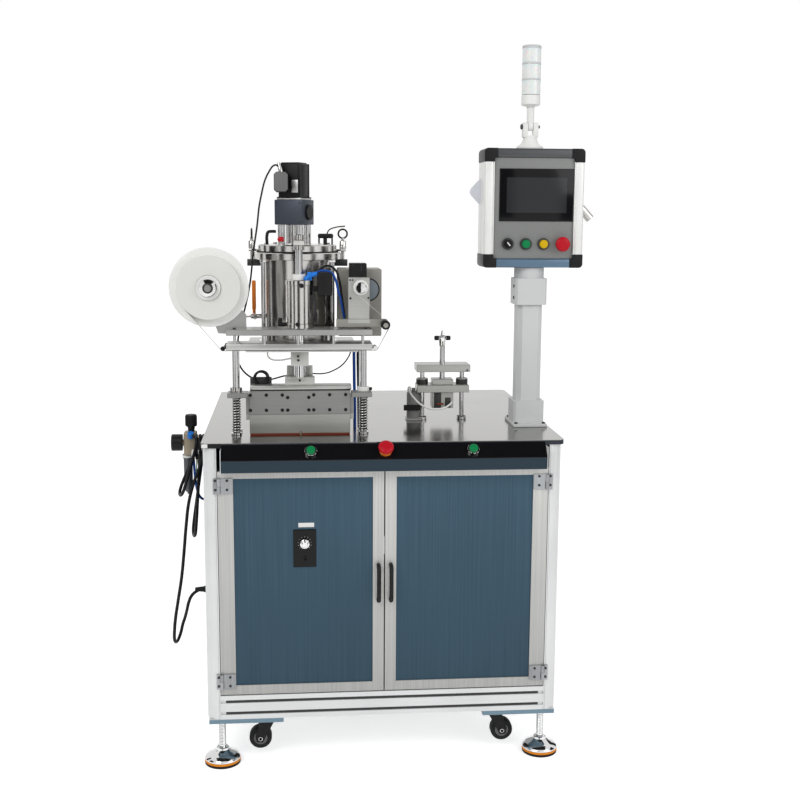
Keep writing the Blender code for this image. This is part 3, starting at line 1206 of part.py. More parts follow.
def supply_reel():
    """The film reel: back flange, film roll, hub and knob, bored for its pin."""
    back = REEL_BRACKET_Y - 0.002 - 0.0006
    thick = 0.0022
    depth = 0.0395
    roll = -(FILM_Y - FILM_WIDTH / 2 - back)
    bore = REEL_PIN_RADIUS + RUNNING
    reel = turned([
        (bore, depth), (REEL_KNOB_RADIUS - 0.003, depth), (REEL_KNOB_RADIUS, depth - 0.003),
        (REEL_KNOB_RADIUS, depth - 0.012), (0.030, depth - 0.012), (0.031, roll + 0.001),
        (0.031, roll), (REEL_ROLL_RADIUS, roll), (REEL_ROLL_RADIUS, thick),
        (REEL_FLANGE_RADIUS, thick), (REEL_FLANGE_RADIUS, 0), (bore, 0)],
        (REEL_X, back, REEL_Z), (0, -1, 0), 28, closed=True)
    return part("supply_reel", reel, "aluminium", (REEL_X, FILM_Y, REEL_Z))


def takeup_unit():
    """The take-up drive behind the plates, its front plate, arm and pins."""
    base = UPPER_PLATE_TOP
    unit = box((-0.108, PLATE_BACK + GAP, base - 0.025), (0.003, -0.150, base + 0.146), 0.002)
    front = box((-0.0860, UNIT_FRONT, UPPER_PLATE_TOP + 0.020), (-0.0315, UNIT_FRONT + 0.008, base + 0.128),
                0.0015)
    body = box((-0.0800, UNIT_FRONT + 0.006, base + 0.034), (-0.0380, PLATE_BACK + 0.003, base + 0.122))
    cap = box((-0.0820, UNIT_FRONT + 0.002, base + 0.1215), (-0.0390, UNIT_FRONT + 0.047, base + 0.163), 0.002)
    arm = box((-0.1150, UNIT_FRONT - 0.004, base + 0.004), (0.0125, UNIT_FRONT + 0.014, base + 0.024), 0.001)
    foot = box((-0.0980, UNIT_FRONT + 0.004, UPPER_PLATE_TOP + GAP),
               (-0.0300, UNIT_FRONT + 0.050, base + 0.005))
    disc = turned([(0, 0.004), (0.0275, 0.004), (0.029, 0.0025), (0.029, 0), (0, 0)],
                  (-0.0354, UNIT_FRONT + 0.014, base + 0.097), (0, -1, 0))
    join(unit, front, body, cap, arm, foot, disc)
    join(unit, box((-0.060, UNIT_FRONT + 0.010, base + 0.090),
                   (-0.030, PLATE_BACK + 0.003, base + 0.104)))
    for x, z in ((TAKEUP_X, TAKEUP_Z), (ROLLER_X, ROLLER_Z)):
        start = UNIT_FRONT + 0.001
        end = 0.0365
        join(unit, turned([(0, end), (0.0062, end), (0.0062, end - 0.003), (0.0045, end - 0.003),
                           (0.0045, 0), (0, 0)], (x, start, z), (0, -1, 0), 16))
    return part("takeup_unit", unit, "grey_paint")


def film_roller(name, x, z, radius, hub, finish, depth=0.0):
    """A roller that turns on a pin of the take-up unit."""
    base = UNIT_FRONT - GAP - depth
    length = 0.0320 - depth
    roller = turned([
        (0.0045 + RUNNING, length), (hub, length), (hub, length - 0.004),
        (radius, length - 0.0045), (radius, 0.0008), (radius - 0.0008, 0), (0.0045 + RUNNING, 0)],
        (x, base, z), (0, -1, 0), 16, closed=True)
    return part(name, roller, finish, (x, FILM_Y, z))


def tangent_angle(first, second):
    """The direction of travel from one circle to the next, each (x, z, radius, sense)."""
    dx, dz = second[0] - first[0], second[1] - first[1]
    reach = math.hypot(dx, dz)
    offset = second[3] * second[2] - first[3] * first[2]
    return math.atan2(dz, dx) - math.asin(offset / reach)


def film_web():
    """The film, from the roll under the plate pins and over the roller to the spindle."""
    half = FILM_THICKNESS / 2
    circles = [(x, z, radius + GAP + half, sense) for x, z, radius, sense in (
        (REEL_X, REEL_Z, REEL_ROLL_RADIUS, 1), (LEFT_PIN_X, PIN_Z, PIN_RADIUS, 1),
        (RIGHT_PIN_X, PIN_Z, PIN_RADIUS, 1), (ROLLER_X, ROLLER_Z, ROLLER_RADIUS, 1),
        (TAKEUP_X, TAKEUP_Z, TAKEUP_ROLL_RADIUS, -1))]
    angles = [tangent_angle(a, b) for a, b in zip(circles, circles[1:])]
    stations = []
    for i, (x, z, radius, sense) in enumerate(circles):
        start = angles[max(i - 1, 0)]
        end = angles[min(i, len(angles) - 1)]
        if end < start - math.pi / 8 and sense > 0:
            end += 2 * math.pi
        count = 1 if i in (0, len(circles) - 1) else 6
        for step in range(count + (i not in (0, len(circles) - 1))):
            angle = start + (end - start) * step / max(count, 1)
            normal = (-math.sin(angle), math.cos(angle))
            stations.append(((x - sense * radius * normal[0], z - sense * radius * normal[1]), normal))
    over = [(p[0] + n[0] * half, p[1] + n[1] * half) for p, n in stations]
    under = [(p[0] - n[0] * half, p[1] - n[1] * half) for p, n in stations]
    web = slab(over + under[::-1], FILM_WIDTH - 0.001, (0, FILM_Y, 0))
    return part("film_web", web, "film")


def fixture_frame():
    """The clamp fixture's posts, plates and side cylinder, fixed to the table."""
    width, depth, height = FIXTURE_PLATE
    base = TABLE_HEIGHT + GAP
    top = box((FIXTURE_X - width / 2, FIXTURE_Y - depth / 2, FIXTURE_TOP_Z),
              (FIXTURE_X + width / 2, FIXTURE_Y + depth / 2, FIXTURE_TOP_Z + height), 0.001)
    for side in (-1, 1):
        x = FIXTURE_X + side * FIXTURE_POST_PITCH / 2
        join(top, rod((x, FIXTURE_Y, base), (x, FIXTURE_Y, FIXTURE_TOP_Z + SINK),
                      FIXTURE_POST_RADIUS, 12),
             rod((x, FIXTURE_Y, base), (x, FIXTURE_Y, base + 0.008), 0.013, 12))
    x = FIXTURE_X - 0.078
    foot = box((x - 0.020, FIXTURE_Y - 0.024, base), (FIXTURE_X - FIXTURE_POST_PITCH / 2,
                                                      FIXTURE_Y + 0.024, base + 0.006), 0.001)
    crown = TABLE_HEIGHT + SIDE_CYLINDER_HEIGHT
    side_cylinder = turned([(0, crown), (0.015, crown), (0.018, crown - 0.003), (0.018, base + 0.004),
                            (0, base + 0.004)], (x, FIXTURE_Y, 0), (0, 0, 1), 16)
    nipple = rod((x, FIXTURE_Y, crown - 0.004), (x, FIXTURE_Y, crown + 0.010), 0.005, 12)
    bar = box((x - 0.028, FIXTURE_Y - 0.024, crown - 0.049),
              (x + 0.017, FIXTURE_Y - 0.015, crown - 0.034), 0.001)
    join(top, foot, side_cylinder, nipple, bar)
    cut(top, rod((FIXTURE_X, FIXTURE_Y, FIXTURE_TOP_Z - height),
                 (FIXTURE_X, FIXTURE_Y, FIXTURE_TOP_Z + 2 * height),
                 SLIDE_ROD_RADIUS + RUNNING, 12))
    return part("fixture_frame", top, "machined")


def fixture_slide():
    """The clamp's sliding plate with its bushes, jaw, rod and wing nut."""
    width, depth, height = FIXTURE_PLATE
    plate = box((FIXTURE_X - width / 2 + 0.002, FIXTURE_Y - depth / 2 + 0.003, SLIDE_PLATE_Z),
                (FIXTURE_X + width / 2 - 0.002, FIXTURE_Y + depth / 2 - 0.003,
                 SLIDE_PLATE_Z + height), 0.001)
    jaw = box((FIXTURE_X - 0.029, FIXTURE_Y - 0.022, SLIDE_PLATE_Z - JAW_HEIGHT),
              (FIXTURE_X + 0.029, FIXTURE_Y + 0.022, SLIDE_PLATE_Z + SINK), 0.001)
    centre = box((FIXTURE_X - 0.0285, FIXTURE_Y - 0.022, SLIDE_PLATE_Z + height - SINK),
                 (FIXTURE_X + 0.0285, FIXTURE_Y + 0.022, SLIDE_PLATE_Z + height + BUSH_HEIGHT), 0.001)
    wing_z = SLIDE_PLATE_Z + WING_RISE
    foot = SLIDE_PLATE_Z + height + 0.005
    shaft = turned([(0, wing_z + 0.0208), (0.0035, wing_z + 0.0188), (0.005, wing_z + 0.0058),
                    (0.010, wing_z + 0.0053), (0.010, wing_z - 0.0057), (0.0085, wing_z - 0.0212),
                    (SLIDE_ROD_RADIUS, wing_z - 0.0222), (SLIDE_ROD_RADIUS, foot),
                    (0, foot)], (FIXTURE_X, FIXTURE_Y, 0), (0, 0, 1), 12)
    wing = centred_box((FIXTURE_X, FIXTURE_Y, wing_z), (0.0435, 0.009, 0.0115), 0.003)
    join(plate, jaw, centre, shaft, wing)
    bores = []
    for side in (-1, 1):
        x = FIXTURE_X + side * FIXTURE_POST_PITCH / 2
        join(plate, rod((x, FIXTURE_Y, SLIDE_PLATE_Z + height - SINK),
                        (x, FIXTURE_Y, SLIDE_PLATE_Z + height + BUSH_HEIGHT + 0.001), BUSH_RADIUS, 16))
        bores.append(rod((x, FIXTURE_Y, SLIDE_PLATE_Z - JAW_HEIGHT), (x, FIXTURE_Y, FIXTURE_TOP_Z - 0.003),
                         FIXTURE_POST_RADIUS + RUNNING, 12))
    cut(plate, *bores)
    return part("fixture_slide", plate, "machined", (FIXTURE_X, FIXTURE_Y, SLIDE_PLATE_Z))


def hmi_post():
    """The post of the control box: flange, socket, tube, clamp and collar with its spigot."""
    base = TABLE_HEIGHT + GAP
    width, depth, thick = POST_FLANGE
    flange = box((HMI_X - width / 2, HMI_Y - depth / 2, base),
                 (HMI_X + width / 2, HMI_Y + depth / 2, base + thick), 0.001)

    def square(size, low, high, chamfer):
        half = size / 2
        inset = half - chamfer
        outline = [(-inset, -half), (inset, -half), (half, -inset), (half, inset),
                   (inset, half), (-inset, half), (-half, inset), (-half, -inset)]
        return slab(outline, high - low, (HMI_X, HMI_Y, (low + high) / 2), "XY")

    socket_top = base + thick + POST_SOCKET_HEIGHT - 0.008
    clamp_low = COLLAR_TOP - COLLAR_HEIGHT - POST_CLAMP_HEIGHT + 0.006
    join(flange, square(POST_SOCKET, base + thick - SINK, socket_top, 0.006),
         square(POST_TUBE, socket_top - SINK, clamp_low + SINK, 0.012),
         square(POST_SOCKET, clamp_low, clamp_low + POST_CLAMP_HEIGHT, 0.005),
         turned([(0, COLLAR_TOP + 0.034), (0.0135, COLLAR_TOP + 0.034), (0.015, COLLAR_TOP + 0.0325),
                 (0.015, COLLAR_TOP), (COLLAR_RADIUS - 0.002, COLLAR_TOP),
                 (COLLAR_RADIUS, COLLAR_TOP - 0.002),
                 (COLLAR_RADIUS, COLLAR_TOP - COLLAR_HEIGHT + 0.004),
                 (0, COLLAR_TOP - COLLAR_HEIGHT + 0.004)], (HMI_X, HMI_Y, 0)))
    return part("hmi_post", flange, "grey_paint")


def hmi_box():
    """The control box in its profile frame, with bezels, side lever and side flap."""
    width, depth, height = HMI_BOX
    left, right = HMI_X - width / 2, HMI_X + width / 2
    case = box((left, HMI_FRONT, HMI_BOTTOM), (right, HMI_FRONT + depth, HMI_TOP), 0.010, 2)
    side, end = HMI_PANEL_MARGIN
    cut(case, box((left + side, HMI_FRONT - 0.01, HMI_BOTTOM + end),
                  (right - side, HMI_PANEL_Y, HMI_TOP - end)),
        centred_box((SCREEN_X, HMI_PANEL_Y, SCREEN_Z),
                    (SCREEN_SIZE[0] + 2 * GAP, 2 * (SCREEN_SIZE[1] - 0.002 + GAP),
                     SCREEN_SIZE[2] + 2 * GAP)))
    tools = []
    for x in HMI_CONTROL_X:
        ring, tool = ring_and_bore((x, HMI_PANEL_Y, HMI_CONTROL_Z), (0, -1, 0),
                                   CAP_RADIUS + RUNNING, 0.012)
        cut(case, tool)
        join(case, ring)
    back = HMI_Y + 0.020
    hub = HMI_BOTTOM + LEVER_RISE
    lever = [rod((right - 0.002, back, hub), (right + 0.018, back, hub), 0.009, 16),
             rod((right + 0.008, back, hub + 0.010), (right + 0.034, back, hub - 0.018), 0.0115, 16)]
    flap = box((left - 0.029, HMI_Y + 0.010, HMI_BOTTOM + FLAP_RISE),
               (left + 0.002, HMI_Y + 0.013, HMI_BOTTOM + FLAP_RISE + FLAP_HEIGHT))
    vertical_slots = [box((x - 0.001, HMI_Y - 0.006, HMI_BOTTOM + 0.04),
                          (x + 0.001, HMI_Y + 0.002, HMI_TOP - 0.04)) for x in (left, right)]
    join(case, *lever, flap)
    tools.append(rod((HMI_X, HMI_Y, HMI_BOTTOM - 0.01), (HMI_X, HMI_Y, HMI_BOTTOM + 0.036),
                     0.015 + RUNNING))
    cut(case, *tools, *vertical_slots)
    return part("hmi_box", case, "aluminium", (HMI_X, HMI_Y, HMI_BOTTOM))


def touch_screen():
    screen = centred_box((SCREEN_X, HMI_PANEL_Y + SCREEN_SIZE[1] / 2 - 0.002, SCREEN_Z),
                         SCREEN_SIZE, 0.001)
    return part("touch_screen", screen, "gloss_black")


def selector_switch():
    base = (HMI_CONTROL_X[0], HMI_PANEL_Y, HMI_CONTROL_Z)
    knob = turned([(0, 0.0120), (CAP_RADIUS - 0.001, 0.0120), (CAP_RADIUS, 0.0110),
                   (CAP_RADIUS, -0.004), (0, -0.004)], base, (0, -1, 0), 16)
    join(knob, centred_box((base[0], base[1] - 0.0155, base[2]), (0.0065, 0.009, 0.0200), 0.001))
    return part("selector_switch", knob, "black", base)


def tower_light():
    """The folding signal light: its bracket on the box, and the lamp on a knuckle."""
    x, y = HMI_X + TOWER_OFFSET, HMI_Y
    pivot = TOWER_PIVOT_Z
    dome = turned([(0, 0.034), (0.0165, 0.034), (0.0180, 0.026), (0.0230, 0.014),
                   (TOWER_FOOT_RADIUS - 0.004, 0.0085), (TOWER_FOOT_RADIUS, 0.004),
                   (TOWER_FOOT_RADIUS, GAP), (0, GAP)], (x, y, HMI_TOP))
    for side in (-1, 1):
        join(dome, box((x + side * 0.0135 - 0.0065, y - 0.011, HMI_TOP + 0.030),
                       (x + side * 0.0135 + 0.0065, y + 0.011, pivot)),
             rod((x + side * 0.007, y, pivot), (x + side * 0.0200, y, pivot), 0.011, 12))
    join(dome, rod((x - 0.0230, y, pivot), (x + 0.0230, y, pivot), 0.004, 12))
    part("tower_bracket", dome, "black")
    top = HMI_TOP
    neck = 0.0095
    lamp = turned([
        (0, top + LAMP_TOP_RISE + 0.057), (LAMP_RADIUS - 0.004, top + LAMP_TOP_RISE + 0.0565),
        (LAMP_RADIUS, top + LAMP_TOP_RISE + 0.053),
        (LAMP_RADIUS, top + LAMP_LENS_RISE + 0.057), (LAMP_RADIUS, top + LAMP_CAP_RISE + 0.059),
        (0.0150, top + LAMP_CAP_RISE + 0.055), (neck, top + LAMP_CAP_RISE + 0.054),
        (neck, pivot + 0.0125), (0, pivot + 0.0125)], (x, y, 0))
    join(lamp, box((x - 0.0062, y - 0.0085, pivot), (x + 0.0062, y + 0.0085, pivot + 0.0140)),
         rod((x - 0.0062, y, pivot), (x + 0.0062, y, pivot), 0.0105, 12))
    cut(lamp, rod((x - 0.02, y, pivot), (x + 0.02, y, pivot), 0.004 + RUNNING, 12))
    part("tower_lamp", lamp, "lens", (x, y, pivot))


def air_regulator():
    """The air regulator on the side of the table: knob, body, gauge and bowl."""
    x, y, z = REGULATOR_X, REGULATOR_Y, REGULATOR_Z
    knob = turned([(0, z + 0.0750), (0.0135, z + 0.0750), (0.015, z + 0.0735), (0.015, z + 0.0445),
                   (0.010, z + 0.0435), (0.008, z + 0.0285), (0, z + 0.0285)],
                  (x, y, 0), (0, 0, 1), 12)
    body = box((x - 0.019, y - 0.020, z - 0.0325), (x + 0.014, y + 0.020, z + 0.0295), 0.003)
    bowl = turned([(0, z - 0.0315), (0.0135, z - 0.0315), (0.0135, z - 0.0415), (0.0115, z - 0.0445),
                   (0.0110, z - 0.1215), (0.0070, z - 0.1335), (0.0035, z - 0.1395), (0, z - 0.1395)],
                  (x - 0.010, y, 0), (0, 0, 1), 12)
    gauge = rod((x - 0.018, y, z), (x - 0.018 - 0.0345, y, z), GAUGE_RADIUS, 24)
    arm = box((x + 0.010, y - 0.012, z - 0.0115), (-HALF_W + PANEL_RECESS - 2 * GAP, y + 0.012, z + 0.0105))
    plate = box((-HALF_W + PANEL_RECESS - 0.006, y - 0.022, z - 0.0295),
                (-HALF_W + PANEL_RECESS - GAP, y + 0.022, z + 0.0255), 0.001)
    join(knob, body, bowl, gauge, arm, plate)
    return part("air_regulator", knob, "black")


def hank_turn(start, end, low_x, low, twist):
    """One turn of the lead: down behind the peg, round the bottom and up in front of it."""
    top = PEG_Z + PEG_RADIUS + GAP + CABLE_DIAMETER / 2
    high_arc, low_arc = top - FOLD_RADIUS, low + FOLD_RADIUS
    stops = [("top", 30), ("top", 60), ("top", 90), ("back", 1 / 3), ("back", 2 / 3)]
    stops += [("low", angle) for angle in range(90, -91, -30)]
    stops += [("front", 2 / 3), ("front", 1 / 3)] + [("top", angle) for angle in range(-90, 1, 30)]
    points = []
    for number, (stretch, value) in enumerate(stops, 1):
        if stretch in ("top", "low"):
            across = FOLD_RADIUS * math.sin(math.radians(value))
            rise = FOLD_RADIUS * math.cos(math.radians(value))
            z = high_arc + rise if stretch == "top" else low_arc - rise
        else:
            across = FOLD_RADIUS if stretch == "back" else -FOLD_RADIUS
            z = high_arc + (low_arc - high_arc) * value
        drop = max(0, ((top - z) / (top - low) - 0.12) / 0.88)
        x = start + (end - start) * number / len(stops)
        points.append((x + (low_x - x) * drop - across * math.sin(twist * drop),
                       HANK_Y + across * math.cos(twist * drop), z))
    return points


def cords():
    """The mains lead: out of its gland, round below it, and hung over the peg in two turns."""
    y = HANK_Y
    top = PEG_Z + PEG_RADIUS + GAP + CABLE_DIAMETER / 2
    first, second, third = (HANK_X - step * HANK_PITCH for step in range(3))
    rise = smooth_route([
        (-0.4700, y, GLAND_Z - 0.0005), (-0.4850, y, 0.3990), (-0.4975, y + 0.002, 0.3870),
        (-0.5060, y + 0.008, 0.3680), (-0.5130, y + 0.018, 0.3400), (-0.5200, y + 0.030, 0.3150),
        (-0.5260, y + 0.033, 0.2970), (-0.5300, y + 0.028, 0.2800), (-0.5345, y + 0.016, 0.2670),
        (-0.5385, y, 0.2620), (-0.5415, y - 0.016, 0.2670), (-0.5425, y - 0.028, 0.2810),
        (-0.5415, y - 0.033, 0.3000), (-0.5380, y - 0.035, 0.3350), (-0.5290, y - 0.036, 0.3900),
        (-0.5190, y - 0.037, 0.4500), (-0.5110, y - 0.038, 0.5200), (-0.5040, y - 0.039, 0.5900),
        (-0.4960, y - 0.0395, 0.6500), (-0.4830, y - 0.0400, 0.7000), (-0.4660, y - 0.0395, 0.7450),
        (-0.4572, y - 0.0365, 0.7760), (-0.4562, y - 0.0275, 0.7985), (first, y - 0.0150, 0.8138),
        (first, y, top)], 1)
    part("power_cable", tube([Vector((-0.4430, y, GLAND_Z))] + rise, CABLE_DIAMETER / 2, 1), "rubber")
    turns = hank_turn(first, second, -0.4880, 0.552, 0.22) + hank_turn(second, third, -0.5215, 0.662, 0.26)
    tail = [(third - 0.0015, y + 0.0150, top - 0.0045), (third - 0.0035, y + 0.0275, top - 0.0155),
            (third - 0.0040, y + 0.0350, top - 0.0330), (third - 0.0040, y + 0.0375, top - 0.0520),
            (third - 0.0035, y + 0.0378, top - 0.0700)]
    begin = Vector(turns[0]) - Vector((first, y, top))
    start = Vector((first, y, top)) + begin * (8 * GAP / begin.length)
    part("cable_hank", tube([start] + turns + tail, CABLE_DIAMETER / 2, 1), "rubber")


def build():
    for end, row in ((-1, "front"), (1, "rear")):
        for side, hand in ((-1, "left"), (1, "right")):
            column(f"{row}_{hand}_column", side, end)
            levelling_foot(f"{row}_{hand}_foot", side, end)
            caster(f"{row}_{hand}", side, end)
    bottom_frame()
    side_panel("left_side_panel", -1)
    side_panel("right_side_panel", 1)
    rear_panel()
    table_top()
    control_fascia()
    door("left_door", -1)
    door("right_door", 1)
    speed_knob()
    for name, x in (("left_start_button", START_BUTTON_X[0]),
                    ("right_start_button", START_BUTTON_X[1])):
        push_button(name, (x, *FASCIA_MIDDLE), FASCIA_NORMAL, "green")
    mushroom("emergency_stop", (STOP_BUTTON_X, *FASCIA_MIDDLE), FASCIA_NORMAL)
    for side, hand in ((-1, "left"), (1, "right")):
        guide_post(f"{hand}_guide_post", side)
        coil_spring(f"{hand}_spring", side)
    lower_plate()
    upper_plate()
    press_head()
    filling_block()
    air_cylinder()
    tank()
    tank_lid()
    stirrer_motor()
    agitator()
    supply_reel()
    takeup_unit()
    film_roller("takeup_spindle", TAKEUP_X, TAKEUP_Z, TAKEUP_ROLL_RADIUS, 0.0135, "chrome")
    film_roller("guide_roller", ROLLER_X, ROLLER_Z, ROLLER_RADIUS, 0.0085, "black", 0.004)
    film_web()
    fixture_frame()
    fixture_slide()
    hmi_post()
    hmi_box()
    touch_screen()
    selector_switch()
    push_button("hmi_green_button", (HMI_CONTROL_X[1], HMI_PANEL_Y, HMI_CONTROL_Z), (0, -1, 0), "green")
    push_button("hmi_yellow_button", (HMI_CONTROL_X[2], HMI_PANEL_Y, HMI_CONTROL_Z), (0, -1, 0),
                "yellow")
    mushroom("hmi_emergency_stop", (HMI_CONTROL_X[3], HMI_PANEL_Y, HMI_CONTROL_Z), (0, -1, 0))
    tower_light()
    air_regulator()
    cords()


def centre_on_floor():
    """Hangs everything on one empty, moved so that the origin is under the middle."""
    bpy.context.view_layer.update()
    graph = bpy.context.evaluated_depsgraph_get()
    low, high = Vector((9, 9, 9)), Vector((-9, -9, -9))
    for made in parts.objects:
        if made.name in CORD_PIECES or made.type != "MESH":
            continue
        shape = made.evaluated_get(graph)
        for vertex in shape.data.vertices:
            spot = shape.matrix_world @ vertex.co
            for axis in range(3):
                low[axis] = min(low[axis], spot[axis])
                high[axis] = max(high[axis], spot[axis])
    root = empty("machine_origin")
    for made in list(parts.objects) + list(cutters.objects):
        if made is not root and made.parent is None:
            made.parent = root
    root.location = (-(low.x + high.x) / 2, -(low.y + high.y) / 2, -low.z)
    bpy.context.view_layer.update()


build()
centre_on_floor()
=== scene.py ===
"""Looks for the cosmetic pencil filling machine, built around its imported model.

Metres, +Z up, the operator stands at -Y. Places are written as in the machine's own drawing,
about the centre of its table, and drawn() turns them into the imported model's frame.
"""
import math

import bpy
from mathutils import Matrix, Vector


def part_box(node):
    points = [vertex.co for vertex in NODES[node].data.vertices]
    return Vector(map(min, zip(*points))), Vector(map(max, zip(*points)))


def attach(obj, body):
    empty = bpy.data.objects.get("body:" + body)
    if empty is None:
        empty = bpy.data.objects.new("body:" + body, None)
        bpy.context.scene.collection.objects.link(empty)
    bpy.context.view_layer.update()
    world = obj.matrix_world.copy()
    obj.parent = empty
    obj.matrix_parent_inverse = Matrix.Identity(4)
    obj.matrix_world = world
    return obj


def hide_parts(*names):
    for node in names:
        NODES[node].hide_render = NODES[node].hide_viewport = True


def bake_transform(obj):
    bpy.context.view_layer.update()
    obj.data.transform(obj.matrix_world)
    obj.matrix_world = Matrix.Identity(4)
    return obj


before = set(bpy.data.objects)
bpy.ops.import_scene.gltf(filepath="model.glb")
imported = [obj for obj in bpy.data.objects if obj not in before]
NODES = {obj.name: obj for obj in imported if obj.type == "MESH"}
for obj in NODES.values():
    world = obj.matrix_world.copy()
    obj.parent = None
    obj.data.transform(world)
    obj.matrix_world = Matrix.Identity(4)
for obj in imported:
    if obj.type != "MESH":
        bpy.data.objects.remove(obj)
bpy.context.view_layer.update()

TABLE_LOW, TABLE_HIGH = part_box("table_top")
SHIFT = Vector(((TABLE_LOW.x + TABLE_HIGH.x) / 2, (TABLE_LOW.y + TABLE_HIGH.y) / 2, 0))

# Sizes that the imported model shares
TABLE_Z = 0.837
PRESS_X, PRESS_Y = -0.2075, -0.299
POST_Y = -0.312
POST_X = (PRESS_X - 0.1605, PRESS_X + 0.1605)
PLATE = (-0.389, -0.026, -0.344, -0.256)
LOWER_Z, UPPER_Z, PLATE_T = 1.0555, 1.0915, 0.0145
UPPER_TOP = UPPER_Z + PLATE_T
TANK_X, TANK_Y = -0.2105, -0.152
STIRRER_X, STIRRER_TURN = -0.218, math.radians(-24)
LID_LOW, LID_TOP = 1.2939, 1.3119
BARREL_Z = UPPER_TOP + 0.0003
FILM_Y = -0.3335
REEL = (-0.4298, 1.2094)
SPINDLE = (-0.0551, 1.2101)
ROLLER = (0.0066, 1.1169)
UNIT_Y = -0.318
FIX_X, FIX_Y = 0.1798, -0.11
BOX_X, BOX_Y = 0.3985, -0.185
BOX_FRONT, BOX_LOW, BOX_TOP = -0.235, 1.2555, 1.5595
PANEL_Y = BOX_FRONT + 0.006
CONTROL_Z = 1.3165
LAMP_X, PIVOT_Z = 0.393, 1.6165
REGULATOR = (-0.4945, -0.16)
HANK_X, HANK_Y = -0.4575, -0.224
CABLE, PEG_TOP = 0.0084, 0.8153
SELECTOR_X = 0.3313
FASCIA_SLOPE = Vector((0, -1, 1)).normalized()
FASCIA_MID = (-0.4433, 0.8165)

# name: colour, metallic, roughness
FINISHES = {
    "aluminium": ((0.72, 0.73, 0.73), 0.35, 0.34),
    "door_rail": ((0.5, 0.5, 0.485), 0.4, 0.36),
    "steel": ((0.56, 0.55, 0.53), 1.0, 0.16),
    "chrome": ((0.7, 0.7, 0.7), 1.0, 0.07),
    "machined": ((0.44, 0.44, 0.42), 0.7, 0.32),
    "plate": ((0.5, 0.5, 0.485), 0.7, 0.3),
    "table": ((0.3, 0.295, 0.275), 1.0, 0.15),
    "table_edge": ((0.035, 0.04, 0.05), 0.3, 0.35),
    "infill": ((0.044, 0.086, 0.124), 0.25, 0.38),
    "strip": ((0.01, 0.028, 0.045), 0.0, 0.42),
    "gloss_black": ((0.006, 0.006, 0.007), 0.0, 0.12),
    "black": ((0.012, 0.012, 0.013), 0.0, 0.42),
    "rubber": ((0.015, 0.015, 0.015), 0.0, 0.62),
    "cable": ((0.01, 0.01, 0.011), 0.0, 0.38),
    "grey_paint": ((0.6, 0.61, 0.61), 0.0, 0.42),
    "panel_grey": ((0.235, 0.24, 0.235), 0.1, 0.45),
    "profile_dark": ((0.1, 0.105, 0.11), 0.5, 0.38),
    "profile_blue": ((0.13, 0.2, 0.28), 0.6, 0.36),
    "unit_grey": ((0.33, 0.32, 0.29), 0.3, 0.45),
    "unit_front": ((0.52, 0.52, 0.5), 0.6, 0.4),
    "slate": ((0.06, 0.07, 0.09), 0.35, 0.4),
    "motor": ((0.01, 0.01, 0.011), 0.1, 0.4),
    "cover_grey": ((0.16, 0.16, 0.16), 0.0, 0.5),
    "silver_plate": ((0.55, 0.55, 0.54), 0.7, 0.35),
    "green": ((0.004, 0.21, 0.065), 0.0, 0.3),
    "yellow": ((0.66, 0.42, 0.005), 0.0, 0.3),
    "red": ((0.47, 0.006, 0.016), 0.0, 0.3),
    "amber": ((0.75, 0.2, 0.02), 0.0, 0.35),
    "blue": ((0.01, 0.065, 0.32), 0.0, 0.3),
    "blue_fitting": ((0.02, 0.2, 0.7), 0.0, 0.35),
    "copper": ((0.2, 0.045, 0.025), 0.2, 0.4),
    "lens": ((0.8, 0.8, 0.79), 0.0, 0.18),
    "white": ((0.82, 0.82, 0.8), 0.0, 0.35),
    "film": ((0.8, 0.8, 0.78), 0.0, 0.32),
    "film_roll": ((0.7, 0.7, 0.67), 0.0, 0.4),
    "display": ((0.026, 0.028, 0.031), 0.0, 0.16),
    "bronze": ((0.32, 0.27, 0.2), 0.6, 0.45),
    "dark_steel": ((0.06, 0.06, 0.06), 0.6, 0.4),
    "disc_face": ((0.17, 0.2, 0.22), 0.4, 0.4),
    "spring": ((0.62, 0.62, 0.6), 1.0, 0.14),
    "face_plate": ((0.3, 0.3, 0.29), 0.6, 0.36),
    "corner_plate": ((0.17, 0.25, 0.31), 0.6, 0.4),
    "hinge_steel": ((0.3, 0.31, 0.32), 1.0, 0.16),
    "profile_white": ((0.82, 0.82, 0.8), 0.2, 0.34),
    # painted shade for the guide posts inside their springs
    "post_dark": ((0.05, 0.05, 0.05), 0.8, 0.3),
    "foot_orange": ((0.85, 0.27, 0.01), 0.0, 0.4),
    "flap": ((0.66, 0.68, 0.73), 0.0, 0.3),
}


def drawn(point):
    """A place of the machine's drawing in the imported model's frame."""
    return Vector(point) + SHIFT


# Camera: where the photograph was taken from
CAMERA_PLACE = (-0.234414, -3.206478, 1.3827)
YAW, PITCH, ROLL = (math.radians(a) for a in (5.276, -8.946, 0.345))
LENS, SENSOR = 52.2, 36.0


def camera():
    """The camera, at the photograph's place, tilt and lens."""
    level = Vector((math.sin(YAW), math.cos(YAW), 0))
    right = Vector((math.cos(YAW), -math.sin(YAW), 0))
    ahead = level * math.cos(PITCH) + Vector((0, 0, math.sin(PITCH)))
    above = Vector((0, 0, math.cos(PITCH))) - level * math.sin(PITCH)
    across = right * math.cos(ROLL) + above * math.sin(ROLL)
    upward = above * math.cos(ROLL) - right * math.sin(ROLL)
    bpy.ops.object.camera_add(location=CAMERA_PLACE)
    eye = bpy.context.object
    turn = Matrix((across, upward, -ahead)).transposed().to_4x4()
    eye.matrix_world = Matrix.Translation(CAMERA_PLACE) @ turn
    eye.data.lens = LENS
    eye.data.sensor_width = SENSOR
    bpy.context.scene.camera = eye


# Materials
GRAIN_DEPTH, SHINE = 0.0004, 0.18


